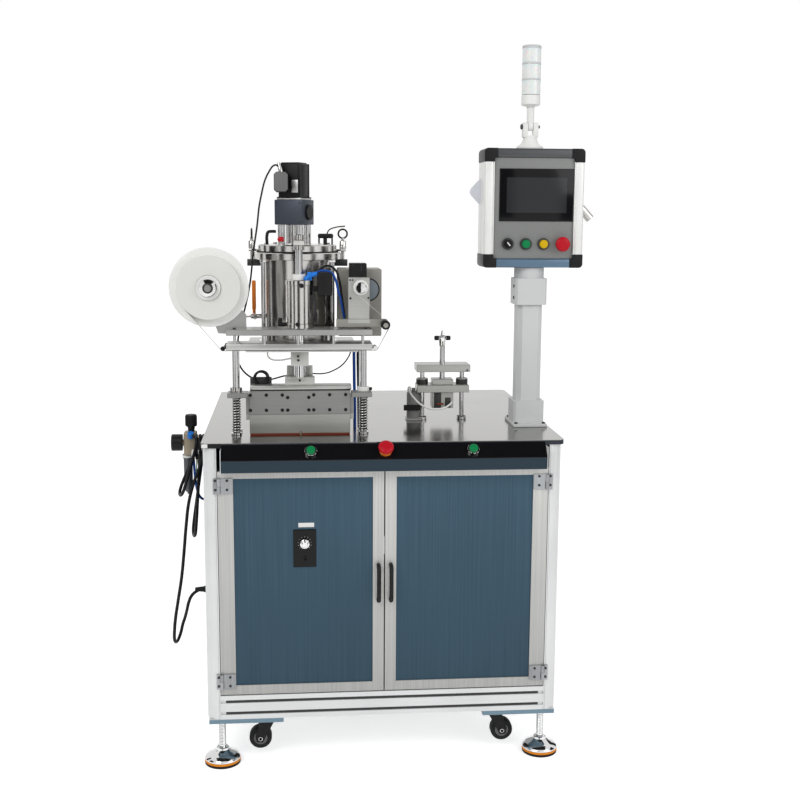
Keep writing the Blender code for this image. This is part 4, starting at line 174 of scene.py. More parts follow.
def material(name, finish, grain=(420, 420, 420), fine=0.04, blotch=0.05, blotch_scale=7,
             bump=0.1, zones=(), coat=0.0, rough_swing=0.05, subsurface=0.0, painted_light_and_shade=()):
    """A finish with grain and blotches, other finishes within zones of the drawing, and, if asked, painted
    shade and light that darken the colour towards the bottom and lighten it towards the top.
    """
    made = bpy.data.materials.new(name)
    made.use_nodes = True
    nodes, links = made.node_tree.nodes, made.node_tree.links
    shader = nodes["Principled BSDF"]
    spot = nodes.new("ShaderNodeTexCoord").outputs["Object"]

    def feed(value, socket):
        if hasattr(value, "is_output"):
            links.new(value, socket)
        else:
            socket.default_value = (*value, 1.0) if socket.type == "RGBA" else value

    def noise(scale, detail):
        place, cloud = nodes.new("ShaderNodeMapping"), nodes.new("ShaderNodeTexNoise")
        place.inputs["Scale"].default_value = scale
        cloud.inputs["Scale"].default_value, cloud.inputs["Detail"].default_value = 1.0, detail
        links.new(spot, place.inputs["Vector"])
        links.new(place.outputs[0], cloud.inputs["Vector"])
        return cloud.outputs["Fac"]

    def ranged(value, low, high, start=0.3, end=0.7):
        node = nodes.new("ShaderNodeMapRange")
        for name, given in (("Value", value), ("From Min", start), ("From Max", end), ("To Min", low),
                            ("To Max", high)):
            feed(given, node.inputs[name])
        return node.outputs["Result"]

    def worked(operation, first, second):
        node = nodes.new("ShaderNodeMath")
        node.operation = operation
        feed(first, node.inputs[0])
        feed(second, node.inputs[1])
        return node.outputs[0]

    def mixed(kind, factor, first, second):
        node = nodes.new("ShaderNodeMix")
        node.data_type = kind
        sockets = [s for s in node.inputs if s.enabled]
        for value, socket in zip((factor, first, second), (sockets[0], sockets[-2], sockets[-1])):
            feed(value, socket)
        return [s for s in node.outputs if s.enabled][0]

    colour, metal, rough = FINISHES[finish]
    parts = nodes.new("ShaderNodeSeparateXYZ") if zones or painted_light_and_shade else None
    if parts:
        links.new(spot, parts.inputs[0])
    for other, area in zones:
        inside = 1.0
        for axis, bounds in area.items():
            along = "xyz".index(axis)
            for bound, test in zip(bounds, ("GREATER_THAN", "LESS_THAN")):
                if bound is not None:
                    within = worked(test, parts.outputs[along], bound + SHIFT[along])
                    inside = worked("MULTIPLY", inside, within)
        second = FINISHES[other]
        colour = mixed("RGBA", inside, colour, second[0])
        metal = mixed("FLOAT", inside, metal, second[1])
        rough = mixed("FLOAT", inside, rough, second[2])

    grainy, blotchy = noise(grain, 3.0), noise((blotch_scale,) * 3, 4.0)
    shade = worked("MULTIPLY", ranged(grainy, 1 - fine, 1 + fine), ranged(blotchy, 1 - blotch, 1 + blotch))
    # Painted shade and light: the colour is scaled from dark at a low height to light at a higher one.
    if painted_light_and_shade:
        low, high, dark, light = painted_light_and_shade
        shade = worked("MULTIPLY", shade, ranged(parts.outputs[2], dark, light, low, high))
    tint = nodes.new("ShaderNodeMix")
    tint.data_type, tint.blend_type = "RGBA", "MULTIPLY"
    tint.inputs[0].default_value = 1.0
    feed(colour, tint.inputs[6])
    feed(shade, tint.inputs[7])
    relief = nodes.new("ShaderNodeBump")
    relief.inputs["Strength"].default_value = bump
    relief.inputs["Distance"].default_value = GRAIN_DEPTH
    links.new(grainy, relief.inputs["Height"])
    for name, value in (("Base Color", tint.outputs[2]), ("Metallic", metal),
                        ("Roughness",
                         worked("ADD", rough, ranged(blotchy, -rough_swing * 0.5, rough_swing))),
                        ("Normal", relief.outputs[0]), ("Specular IOR Level", SHINE), ("Coat Weight", coat),
                        ("Subsurface Weight", subsurface)):
        feed(value, shader.inputs[name])
    return made


MADE = {}
LOOKS = {
    "aluminium": dict(grain=(700, 700, 9), fine=0.03, bump=0.05),
    "steel": dict(grain=(900, 900, 30), fine=0.03, bump=0.03, blotch=0.06, rough_swing=0.04),
    "chrome": dict(fine=0.01, bump=0.01, rough_swing=0.02),
    "machined": dict(grain=(30, 500, 900), fine=0.05, bump=0.08),
    "plate": dict(grain=(25, 500, 900), fine=0.05, bump=0.08),
    "black": dict(grain=(900, 900, 900), fine=0.1, bump=0.2),
    "rubber": dict(grain=(600, 600, 600), fine=0.12, bump=0.3),
    "cable": dict(grain=(500, 500, 500), fine=0.08, bump=0.08),
    "grey_paint": dict(grain=(500, 500, 500), fine=0.02, bump=0.1, blotch=0.03),
    "green": dict(bump=0.03), "yellow": dict(bump=0.03),
    "red": dict(bump=0.03),
    "lens": dict(grain=(60, 60, 900), bump=0.1, coat=0.4, subsurface=0.25),
    "white": dict(bump=0.05), "film": dict(bump=0.03, coat=0.2),
    "blue": dict(bump=0.03), "blue_fitting": dict(bump=0.03),
}


def look(finish):
    """The plain material of a finish, made when first asked for."""
    if finish not in MADE:
        MADE[finish] = material(finish, finish, **LOOKS.get(finish, {}))
    return MADE[finish]


def dress(nodes, made):
    """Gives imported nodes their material."""
    for name in nodes.split():
        slots = NODES[name].data.materials
        slots.clear()
        slots.append(made)


# Making pieces
EDGE_ANGLE, SMOOTH_ANGLE = 40, 32
FORWARD, LEFTWARD = (0, -1, 0), (-1, 0, 0)


def nothing_selected():
    """Clears the selection before a new piece is made."""
    for item in bpy.context.selected_objects:
        item.select_set(False)


def settled():
    """Puts the active piece's place into its mesh."""
    bpy.ops.object.transform_apply(location=True, rotation=True, scale=True)
    return bpy.context.object


def bevelled(item, edge, steps=2):
    """Breaks a piece's sharp edges."""
    step = item.modifiers.new("edge", "BEVEL")
    step.width, step.segments, step.limit_method = edge, steps, "ANGLE"
    step.angle_limit = math.radians(EDGE_ANGLE)
    bpy.context.view_layer.objects.active = item
    bpy.ops.object.modifier_apply(modifier="edge")
    return item


def block(one, other, edge=0.0008, steps=2):
    """A block between two opposite corners of the drawing, its edges broken."""
    nothing_selected()
    low, high = (Vector([end(pair) for pair in zip(one, other)]) for end in (min, max))
    bpy.ops.mesh.primitive_cube_add(size=1, location=drawn((low + high) / 2))
    bpy.context.object.scale = high - low
    item = settled()
    return bevelled(item, edge, steps) if edge else item


def turned(profile, base, direction=(0, 0, 1), sides=48):
    """A turned piece, drawn out ring by ring from its first radius and height."""
    nothing_selected()
    radius, height = profile[0]
    first = height
    bpy.ops.mesh.primitive_circle_add(vertices=sides, radius=radius, fill_type="NGON")
    item = bpy.context.object
    bpy.ops.object.mode_set(mode="EDIT")
    bpy.ops.mesh.select_all(action="SELECT")
    for wide, high in profile[1:]:
        bpy.ops.mesh.extrude_region_move(TRANSFORM_OT_translate={"value": (0, 0, high - height)})
        if wide != radius:
            bpy.ops.transform.resize(value=(wide / radius, wide / radius, 1),
                                     center_override=(0, 0, high - first))
        radius, height = wide, high
    bpy.ops.mesh.select_all(action="SELECT")
    bpy.ops.mesh.normals_make_consistent(inside=False)
    bpy.ops.object.mode_set(mode="OBJECT")
    way = Vector(direction).normalized()
    item.rotation_mode = "QUATERNION"
    item.rotation_quaternion = way.to_track_quat("Z", "Y")
    item.location = drawn(Vector(base) + way * first)
    return settled()


def rod(start, end, radius, sides=32, edge=0.0005):
    """A round bar between two places, its ends broken."""
    start, end = Vector(start), Vector(end)
    reach = (end - start).length
    edge = min(edge, radius * 0.4, reach * 0.3)
    return turned([(radius - edge, 0), (radius, edge), (radius, reach - edge), (radius - edge, reach)],
                  start, end - start, sides)


def ring(centre, direction, radius, wire, sides=40, turns=12):
    """A round wire ring."""
    nothing_selected()
    bpy.ops.mesh.primitive_torus_add(major_radius=radius, minor_radius=wire, major_segments=sides,
                                     minor_segments=turns)
    item = bpy.context.object
    item.rotation_mode = "QUATERNION"
    item.rotation_quaternion = Vector(direction).to_track_quat("Z", "Y")
    item.location = drawn(centre)
    return settled()


def collar(inner, outer, height, base, direction=(0, 0, 1), sides=48, edge=0.0006):
    """A ring with a bore, drawn out from its inner wall."""
    return turned([(outer - edge, 0), (outer, edge), (outer, height - edge), (outer - edge, height),
                   (inner, height), (inner, 0.0002)], base, direction, sides)


def cut_sheet(points, front, back, edge=0.0004, steps=2):
    """A flat outline of (x, z) places drawn back from front to back."""
    nothing_selected()
    mesh = bpy.data.meshes.new("sheet")
    mesh.from_pydata([drawn((x, front, z)) for x, z in points], [], [list(range(len(points)))])
    item = bpy.data.objects.new("sheet", mesh)
    bpy.context.scene.collection.objects.link(item)
    item.select_set(True)
    bpy.context.view_layer.objects.active = item
    bpy.ops.object.mode_set(mode="EDIT")
    bpy.ops.mesh.select_all(action="SELECT")
    bpy.ops.mesh.extrude_region_move(TRANSFORM_OT_translate={"value": (0, back - front, 0)})
    bpy.ops.mesh.select_all(action="SELECT")
    bpy.ops.mesh.normals_make_consistent(inside=False)
    bpy.ops.object.mode_set(mode="OBJECT")
    return bevelled(item, edge, steps) if edge else item


def hexagon(radius, height, base, direction=(0, 0, 1)):
    """A hexagon head or nut."""
    return turned([(radius * 0.93, 0), (radius, height * 0.12), (radius, height * 0.85),
                   (radius * 0.9, height)], base, direction, 6)


def cap_screw(base, direction, radius=0.0035, height=0.0025, sides=20):
    """A socket cap screw head."""
    return turned([(radius, 0), (radius, height * 0.8), (radius * 0.88, height), (radius * 0.55, height),
                   (radius * 0.5, height * 0.35)], base, direction, sides)


def copied(item, shifts):
    """Copies of a small piece, each moved by one shift, and the piece itself."""
    out = [item]
    for shift in shifts:
        twin = item.copy()
        twin.data = item.data.copy()
        bpy.context.scene.collection.objects.link(twin)
        twin.data.transform(Matrix.Translation(shift))
        out.append(twin)
    return out


def wire(points, radius):
    """A round wire through drawn places, as a smooth curve."""
    curve = bpy.data.curves.new("wire", "CURVE")
    curve.dimensions = "3D"
    curve.bevel_depth, curve.bevel_resolution, curve.use_fill_caps = radius, 4, True
    curve.resolution_u = 6
    spline = curve.splines.new("BEZIER")
    spline.bezier_points.add(len(points) - 1)
    for knot, place in zip(spline.bezier_points, points):
        knot.co = drawn(place)
        knot.handle_left_type = knot.handle_right_type = "AUTO"
    item = bpy.data.objects.new("wire", curve)
    bpy.context.scene.collection.objects.link(item)
    return item


def ridges(count, reach, centre, length, thick, sides=6, upright=False):
    """Fine ridges round a knob that faces the operator, or that stands upright."""
    made = []
    for number in range(count):
        angle = 2 * math.pi * number / count
        a, b = reach * math.cos(angle), reach * math.sin(angle)
        spot = Vector(centre) + Vector((a, b, 0) if upright else (a, 0, b))
        made.append(rod(spot, spot + Vector((0, 0, length) if upright else (0, -length, 0)), thick, sides))
    return made


def dial_marks(centre, first, step, inner, outer, thick, facing_left=False):
    """Eleven fine marks round a dial, from a first angle on."""
    made = []
    for number in range(11):
        angle = math.radians(first + step * number)
        a, b = math.cos(angle), math.sin(angle)
        out = Vector((0, a, b) if facing_left else (a, 0, b))
        made.append(rod(Vector(centre) + out * inner, Vector(centre) + out * outer, thick, 6))
    return made


def as_mesh(item):
    """Turns a curve into a mesh."""
    nothing_selected()
    item.select_set(True)
    bpy.context.view_layer.objects.active = item
    bpy.ops.object.convert(target="MESH")
    return bpy.context.object


def piece(name, parts, body, made, replaces=""):
    """Joins parts into one named piece that rides on a body."""
    nothing_selected()
    parts = parts if isinstance(parts, list) else [parts]
    for part in parts:
        part.select_set(True)
    bpy.context.view_layer.objects.active = parts[0]
    if len(parts) > 1:
        bpy.ops.object.join()
    item = bpy.context.object
    item.name = name
    bpy.ops.object.shade_smooth_by_angle(angle=math.radians(SMOOTH_ANGLE))
    item.data.materials.clear()
    item.data.materials.append(look(made) if isinstance(made, str) else made)
    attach(item, body)
    if replaces:
        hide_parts(*replaces.split())
    return item


def hose(name, points, diameter, finish, body="cabinet",
         replaces=""):
    """A cable or tube whose whole length shows, made as a curve."""
    item = wire(points, diameter / 2)
    item.name = name
    item.data.materials.append(look(finish))
    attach(item, body)
    if replaces:
        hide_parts(*replaces.split())
    return item


# Cords
def hank_turn(start, end, low_x, low, twist):
    """One turn of the lead: down behind the peg, round the bottom and up in front of it."""
    fold, top = 0.027, PEG_TOP + CABLE / 2
    stops = [("top", 30), ("top", 60), ("top", 90), ("back", 1 / 3), ("back", 2 / 3)]
    stops += [("low", angle) for angle in range(90, -91, -30)]
    stops += [("front", 2 / 3), ("front", 1 / 3)] + [("top", angle) for angle in range(-90, 1, 30)]
    points = []
    for number, (stretch, value) in enumerate(stops, 1):
        if stretch in ("top", "low"):
            across = fold * math.sin(math.radians(value))
            rise = fold * math.cos(math.radians(value))
            z = top - fold + rise if stretch == "top" else low + fold - rise
        else:
            across = fold if stretch == "back" else -fold
            z = top - fold + (low - top + 2 * fold) * value
        drop = max(0, ((top - z) / (top - low) - 0.12) / 0.88)
        x = start + (end - start) * number / len(stops)
        points.append((x + (low_x - x) * drop - across * math.sin(twist * drop),
                       HANK_Y + across * math.cos(twist * drop), z))
    return points


def mains_lead():
    """The mains lead: out of its gland, round below it, and over the peg in two turns."""
    y, top = HANK_Y, PEG_TOP + CABLE / 2
    first, second, third = (HANK_X - step * (CABLE + 0.0006) for step in range(3))
    points = [
        (-0.443, y, 0.405), (-0.457, y, 0.405), (-0.47, y, 0.4045), (-0.485, y, 0.399),
        (-0.4975, y + 0.002, 0.387),
        (-0.506, y + 0.008, 0.368), (-0.513, y + 0.018, 0.34), (-0.52, y + 0.03, 0.315),
        (-0.526, y + 0.033, 0.297), (-0.53, y + 0.028, 0.28), (-0.5345, y + 0.016, 0.267),
        (-0.5385, y, 0.262), (-0.5415, y - 0.016, 0.267), (-0.5425, y - 0.028, 0.281),
        (-0.5415, y - 0.033, 0.3), (-0.538, y - 0.035, 0.335), (-0.529, y - 0.036, 0.39),
        (-0.519, y - 0.037, 0.45), (-0.511, y - 0.038, 0.52), (-0.504, y - 0.039, 0.59),
        (-0.496, y - 0.0395, 0.65), (-0.483, y - 0.04, 0.7), (-0.466, y - 0.0395, 0.745),
        (-0.4572, y - 0.0365, 0.776), (-0.4562, y - 0.0275, 0.7985), (first, y - 0.015, 0.8138),
        (first, y, top)]
    points += hank_turn(first, second, -0.488, 0.552, 0.22)
    points += hank_turn(second, third, -0.5215, 0.662, 0.26)
    points += [(third - 0.0015, y + 0.015, top - 0.0045), (third - 0.0035, y + 0.0275, top - 0.0155),
               (third - 0.004, y + 0.035, top - 0.033), (third - 0.004, y + 0.0375, top - 0.052),
               (third - 0.0035, y + 0.0378, top - 0.07)]
    end = Vector(points[-1])
    for number, finish in enumerate(("bronze", "blue", "green")):
        angle = 2 * math.pi * number / 3
        side = Vector((math.cos(angle), math.sin(angle), 0)) * 0.0021
        core = as_mesh(wire([end + side + Vector((0, 0, 0.006)), end + side - Vector((0, 0, 0.01)),
                             end + side * 1.5 - Vector((0, 0, 0.022)),
                             end + side * 1.8 - Vector((0, 0, 0.032))], 0.0013))
        ferrule = rod(end + side * 1.8 - Vector((0, 0, 0.031)), end + side * 1.9 - Vector((0, 0, 0.04)),
                      0.0009, 12)
        piece(f"lead_core_{number + 1}", core, "cabinet", finish)
        piece(f"lead_ferrule_{number + 1}", ferrule, "cabinet", "steel")
    hose("mains_lead", points, CABLE, "cable",
         replaces="power_cable cable_hank")
    relief = turned([(0.0085, 0), (0.0095, 0.002), (0.0095, 0.01), (0.0078, 0.013), (0.0062, 0.03),
                     (0.0047, 0.04), (0.0044, 0.04)], (-0.448, y, 0.405), LEFTWARD, 24)
    piece("lead_strain_relief", relief, "cabinet", "rubber")


def tubes():
    """The pneumatic tubes and the cables of the press and the stirrer."""
    hose("motor_cable", [(-0.255, -0.186, 1.507), (-0.264, -0.188, 1.513), (-0.28, -0.196, 1.498),
                         (-0.303, -0.213, 1.428), (-0.313, -0.226, 1.355), (-0.323, -0.232, 1.29),
                         (-0.331, -0.236, 1.22), (-0.343, -0.244, 1.16), (-0.354, -0.248, 1.12),
                         (-0.36, -0.249, 1.095), (-0.365, -0.249, 1.06), (-0.366, -0.249, 1.03),
                         (-0.36, -0.249, 1.005), (-0.342, -0.25, 0.982), (-0.324, -0.252, 0.972),
                         (-0.312, -0.256, 0.97)],
         0.0046, "cable")
    hose("blue_air_tube", [(-0.165, -0.306, 1.242), (-0.156, -0.31, 1.249), (-0.14, -0.312, 1.25),
                           (-0.126, -0.312, 1.244), (-0.116, -0.311, 1.225), (-0.11, -0.308, 1.2),
                           (-0.105, -0.302, 1.185), (-0.101, -0.296, 1.165), (-0.097, -0.29, 1.145),
                           (-0.094, -0.285, 1.128), (-0.093, -0.283, 1.114)],
         0.006, "blue")
    hose("black_air_tube", [(-0.163, -0.298, 1.24), (-0.151, -0.3, 1.257), (-0.133, -0.3, 1.262),
                            (-0.117, -0.299, 1.252), (-0.107, -0.295, 1.226), (-0.101, -0.288, 1.19),
                            (-0.096, -0.28, 1.155), (-0.092, -0.274, 1.125), (-0.091, -0.273, 1.112)],
         0.006, "cable")
    hose("sensor_cable", [(-0.144, -0.3, 1.188), (-0.143, -0.301, 1.17), (-0.136, -0.302, 1.15),
                          (-0.128, -0.301, 1.128), (-0.124, -0.299, 1.11)],
         0.0036, "cable")
    hose("left_head_cable", [(-0.199, -0.256, 1.005), (-0.22, -0.255, 0.985), (-0.25, -0.254, 0.978),
                             (-0.28, -0.254, 0.97), (-0.295, -0.254, 0.968)],
         0.004, "cable", body="press_head")
    hose("right_head_cable", [(-0.18, -0.26, 0.986), (-0.16, -0.26, 0.9845), (-0.14, -0.259, 0.986),
                              (-0.12, -0.258, 0.993), (-0.1, -0.256, 1.005), (-0.085, -0.254, 1.022),
                              (-0.077, -0.252, 1.038), (-0.075, -0.25, 1.0465)],
         0.0034, "cable")
    hose("blue_rear_tube", [(-0.066, -0.22, 1.047), (-0.066, -0.218, 1.02), (-0.0655, -0.216, 0.99),
                            (-0.065, -0.215, 0.95), (-0.064, -0.215, 0.9), (-0.064, -0.215, 0.8372)],
         0.008, "blue")
    hose("rear_conduit", [(-0.05, -0.21, 1.047), (-0.05, -0.206, 1.02), (-0.049, -0.204, 0.97),
                          (-0.048, -0.203, 0.91), (-0.047, -0.203, 0.8372)],
         0.018, "rubber")
    hose("white_air_tube", [(-0.224, -0.29, 1.03), (-0.24, -0.288, 1.026), (-0.262, -0.286, 1.023),
                            (-0.28, -0.285, 1.026), (-0.288, -0.285, 1.035), (-0.288, -0.285, 1.0465)],
         0.004, "white")
    hose("clamp_air_tube", [(0.0905, -0.118, 0.927), (0.09, -0.124, 0.918), (0.101, -0.142, 0.9),
                            (0.123, -0.158, 0.882), (0.15, -0.166, 0.874), (0.178, -0.164, 0.876),
                            (0.196, -0.152, 0.883), (0.204, -0.138, 0.888)],
         0.0052, "white")
    hose("regulator_tube", [(-0.488, -0.186, 0.756), (-0.487, -0.188, 0.74), (-0.4855, -0.189, 0.715),
                            (-0.4835, -0.1885, 0.69), (-0.48, -0.184, 0.665), (-0.474, -0.176, 0.645),
                            (-0.464, -0.166, 0.635), (-0.45, -0.16, 0.632), (-0.444, -0.16, 0.632)],
         0.007, "blue")


# Cabinet
def cabinet_finishes():
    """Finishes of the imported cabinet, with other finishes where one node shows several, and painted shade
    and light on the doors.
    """
    up = dict(grain=(900, 900, 6), fine=0.035, bump=0.05)
    along = dict(grain=(6, 900, 900), fine=0.035, bump=0.05)
    dress("front_left_column front_right_column rear_left_column rear_right_column",
          material("extruded_up", "aluminium", zones=[("hinge_steel", {"y": (None, -0.4238)})], **up))
    dress("bottom_frame", material("extruded_along", "aluminium", zones=[
        ("corner_plate", {"z": (0.105, 0.1259)}),
        ("dark_steel", {"y": (-0.4196, -0.415), "x": (-0.4, 0.4), "z": (0.13, 0.186)})], **along))
    infill = dict(grain=(260, 260, 2.5), fine=0.1, bump=0.06, blotch=0.06, blotch_scale=3)
    dress("left_side_panel right_side_panel rear_panel", material("side_infill", "infill", zones=[
        ("black", {"x": (None, -0.4475)})], **infill))
    handle = {"y": (None, -0.4245), "z": (0.42, 0.54)}
    for side, name, span in ((-1, "left_door", (-0.3735, -0.0295)), (1, "right_door", (0.0295, 0.3735))):
        zones = [("infill", {"x": span, "z": (0.2155, 0.748), "y": (-0.423, -0.4)}),
                 ("black", {"x": (-0.03, 0.03), **handle}),
                 ("hinge_steel",
                  {"x": (-0.46, -0.373) if side < 0 else (0.373, 0.46), "y": (None, -0.4237)})]
        if side < 0:
            zones.append(("gloss_black",
                          {"x": (-0.2275, -0.1705), "y": (None, -0.42045), "z": (0.52, 0.617)}))
        # Each door gets painted shade towards its bottom and painted light towards its top.
        dress(name,
              material(name + "_finish", "door_rail", zones=zones, painted_light_and_shade=(0.19, 0.77, 0.8, 1.18), **infill))
    dress("table_top", material("table_finish", "table", grain=(500, 500, 500), fine=0.04, bump=0.02,
                                blotch=0.05, rough_swing=0.05,
                                zones=[("table_edge", {"z": (None, TABLE_Z - 0.0012)})]))
    dress("control_fascia", material("fascia_finish", "gloss_black", fine=0.02, bump=0.02, coat=0.2,
                                     zones=[("strip", {"z": (None, 0.7985)})]))
    dress("hmi_post", look("grey_paint"))
    for corner in ("front_left", "front_right", "rear_left", "rear_right"):
        dress(corner + "_caster", look("black"))


def screws_on_doors():
    """Hinge screws on both leaves, and the bare tag and dial of the speed plate."""
    face = -0.4265
    heights = [z + dz for z in (0.733, 0.2275) for dz in (-0.0115, 0.0115)]
    for side, name in ((-1, "left"), (1, "right")):
        for where, reach, body in (("frame", 0.4163, "cabinet"), ("door", 0.3878, name + "_door")):
            head = cap_screw((side * reach, face + 0.0002, heights[0]), FORWARD, 0.0034, 0.0018)
            heads = copied(head, [(0, 0, z - heights[0]) for z in heights[1:]])
            piece(f"{name}_hinge_{where}_screws", heads, body, "dark_steel")
    plate_y = -0.4235
    tag = block((-0.2145, -0.4212, 0.6225), (-0.1755, -0.4202, 0.6335), 0.0002)
    piece("bare_tag", tag, "left_door", "white")
    dial = (-0.199, plate_y, 0.582)
    marks = dial_marks((dial[0], plate_y - 0.0001, dial[2]), 225, -27, 0.015, 0.0178, 0.00045)
    piece("speed_plate_marks", marks, "left_door", "silver_plate")
    knob = turned([(0.0113, 0), (0.0115, 0.001), (0.0115, 0.0085), (0.0105, 0.0092), (0.0078, 0.0098),
                   (0.0074, 0.016), (0.0066, 0.0168)], (dial[0], plate_y - 0.0006, dial[2]), FORWARD)
    flutes = ridges(24, 0.0114, (dial[0], plate_y - 0.0012, dial[2]), 0.0072, 0.0007, 8)
    piece("speed_knob_shown", [knob] + flutes, "speed_knob", "chrome", "speed_knob")


def button(name, base, direction, finish, body, bezel="chrome", cabinet="cabinet"):
    """A round push button in its bezel."""
    radius, way = 0.0109, Vector(direction).normalized()
    cap = turned([(radius, -0.004), (radius, 0.0112), (radius - 0.0004, 0.0122), (radius - 0.0014, 0.013),
                  (radius - 0.004, 0.0133), (0.0012, 0.0135)], base, way)
    piece(name, cap, body, finish, body)
    shell = collar(radius + 0.0005, 0.0151, 0.0079, base, way)
    piece(name + "_bezel", shell, cabinet, bezel)


def mushroom(name, base, direction, body, cabinet, collar_finish):
    """An emergency stop: a mushroom head over its bright neck."""
    way = Vector(direction).normalized()
    head = turned([(0.0105, 0.006), (0.0105, 0.0121), (0.016, 0.0127), (0.0185, 0.014), (0.0191, 0.0165),
                   (0.0186, 0.0203), (0.0168, 0.0228), (0.0135, 0.0242), (0.008, 0.0249),
                   (0.0014, 0.0251)], base, way, 64)
    piece(name, head, body, "red", body)
    shell = collar(0.0113, 0.0152, 0.0079, base, way)
    piece(name + "_collar", shell, cabinet, collar_finish)


def fascia_controls():
    """The console's buttons, the table's corner cap and the console's end edges."""
    for name, x in (("left_start", -0.183), ("right_start", 0.217)):
        button(name + "_cap", (x, *FASCIA_MID), FASCIA_SLOPE, "green", name + "_button")
    mushroom("stop_head", (0, *FASCIA_MID), FASCIA_SLOPE, "emergency_stop", "cabinet", "amber")
    cap = block((-0.4475, -0.429, 0.8262), (-0.433, -0.4262, 0.8356), 0.001)
    piece("table_corner_cap", cap, "cabinet", "white")
    plug = block((-0.4325, -0.429, 0.8262), (-0.4015, -0.4266, 0.8356), 0.001)
    piece("table_corner_plug", plug, "cabinet", "black")
    ends = [block((side * 0.401 - 0.0008, -0.4605, 0.769), (side * 0.401 + 0.0008, -0.4262, 0.825), 0.0004)
            for side in (-1, 1)]
    piece("fascia_ends", ends, "cabinet", "aluminium")


# Press
def springs():
    """The coil springs on the posts, shown in place of the imported springs."""
    low, high, turns, steps, reach, rest = 0.845, 0.9345, 14, 16, 0.0112, 0.0016
    for name, x in zip(("left", "right"), POST_X):
        points = []
        for step in range(turns * steps + 1):
            share = step / (turns * steps)
            flat = min(max((share * turns - 0.8) / (turns - 1.6), 0), 1)
            angle = 2 * math.pi * turns * share
            points.append((x + reach * math.cos(angle), POST_Y + reach * math.sin(angle),
                           low + (high - low) * (0.03 + 0.94 * flat) - rest * (0.8 - min(share * turns,
                                                                                         0.8))
                           + rest * max(share * turns - turns + 0.8, 0)))
        curve = bpy.data.curves.new("spring", "CURVE")
        curve.dimensions = "3D"
        curve.bevel_depth, curve.bevel_resolution, curve.use_fill_caps = 0.0015, 2, True
        spline = curve.splines.new("POLY")
        spline.points.add(len(points) - 1)
        for knot, place in zip(spline.points, points):
            knot.co = (*drawn(place), 1)
        item = bpy.data.objects.new(name + "_spring_shown", curve)
        bpy.context.scene.collection.objects.link(item)
        item = as_mesh(item)
        item.data.materials.append(look("spring"))
        for face in item.data.polygons:
            face.use_smooth = True
        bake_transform(item)
        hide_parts(name + "_spring")


def guide_posts():
    """The posts, with painted shade on them where the springs surround them."""
    for name, x in zip(("left", "right"), POST_X):
        post = turned([(0.0129, 0.0003), (0.0135, 0.001), (0.0135, 0.0054), (0.0129, 0.006),
                       (0.0085, 0.006),
                       (0.0085, 0.2175), (0.0079, 0.2182)], (x, POST_Y, TABLE_Z), sides=48)
        # Painted shade: the chrome is darkened over the height that the springs cover.
        shade = material(f"{name}_post", "chrome", zones=[("post_dark", {"z": (0.8435, 0.936)})],
                         **LOOKS["chrome"])
        piece(f"{name}_post_shown", post, "cabinet", shade, f"{name}_guide_post")


def press_plates():
    """Both plates with their tray, spacers, guide block, rear posts, film pins and bolts."""
    left, right, front, back = PLATE
    y = front + 0.008
    plates = [block((left, front, LOWER_Z), (right, back, LOWER_Z + PLATE_T), 0.001),
              block((-0.3415, -0.322, LOWER_Z - 0.008), (-0.0605, -0.032, LOWER_Z + 0.0005), 0.0006)]
    piece("lower_plate_shown", plates, "cabinet", "plate", "lower_plate")
    guide = block((PRESS_X - 0.0225, PRESS_Y - 0.0215, 1.012), (PRESS_X + 0.0225, PRESS_Y + 0.0215, 1.056),
                  0.001)
    piece("guide_block", guide, "cabinet", "machined")
    posts = [rod((x, y, LOWER_Z + PLATE_T - 0.0005), (x, y, UPPER_Z - 0.0003), 0.0038, 24)
             for x in (-0.368, -0.2945, -0.211, -0.1234, -0.05)]
    for x in POST_X:
        posts += [rod((x, POST_Y + 0.043, TABLE_Z + 0.0003), (x, POST_Y + 0.043, LOWER_Z), 0.0085, 40),
                  rod((x, POST_Y + 0.043, TABLE_Z + 0.0003), (x, POST_Y + 0.043, TABLE_Z + 0.008), 0.0135,
                      40)]
    for x, end in ((left - 0.008, left), (right + 0.008, right)):
        z = LOWER_Z + 0.004
        posts += [rod((x, FILM_Y - 0.011, z), (x, FILM_Y + 0.021, z), 0.006, 24),
                  block((min(x, end) - 0.002, FILM_Y + 0.012, z - 0.004),
                        (max(x, end) + 0.002, FILM_Y + 0.021, z + 0.005))]
    piece("spacers_and_posts", posts, "cabinet", "chrome")
    dress("upper_plate", look("plate"))
    bolts = [cap_screw((x, front + 0.016, UPPER_TOP), (0, 0, 1), 0.0042, 0.0035)
             for x in (left + 0.02, right - 0.016)]
    bolts += [cap_screw((x, PRESS_Y - 0.0215, z), FORWARD, 0.0034, 0.0012)
              for x, z in ((PRESS_X - 0.004, 1.037), (PRESS_X - 0.0035, 1.027))]
    bolts += [hexagon(0.006, 0.0045, (left, front + dy, LOWER_Z + 0.007), LEFTWARD) for dy in (0.02, 0.055)]
    piece("plate_bolts", bolts, "cabinet", "dark_steel")


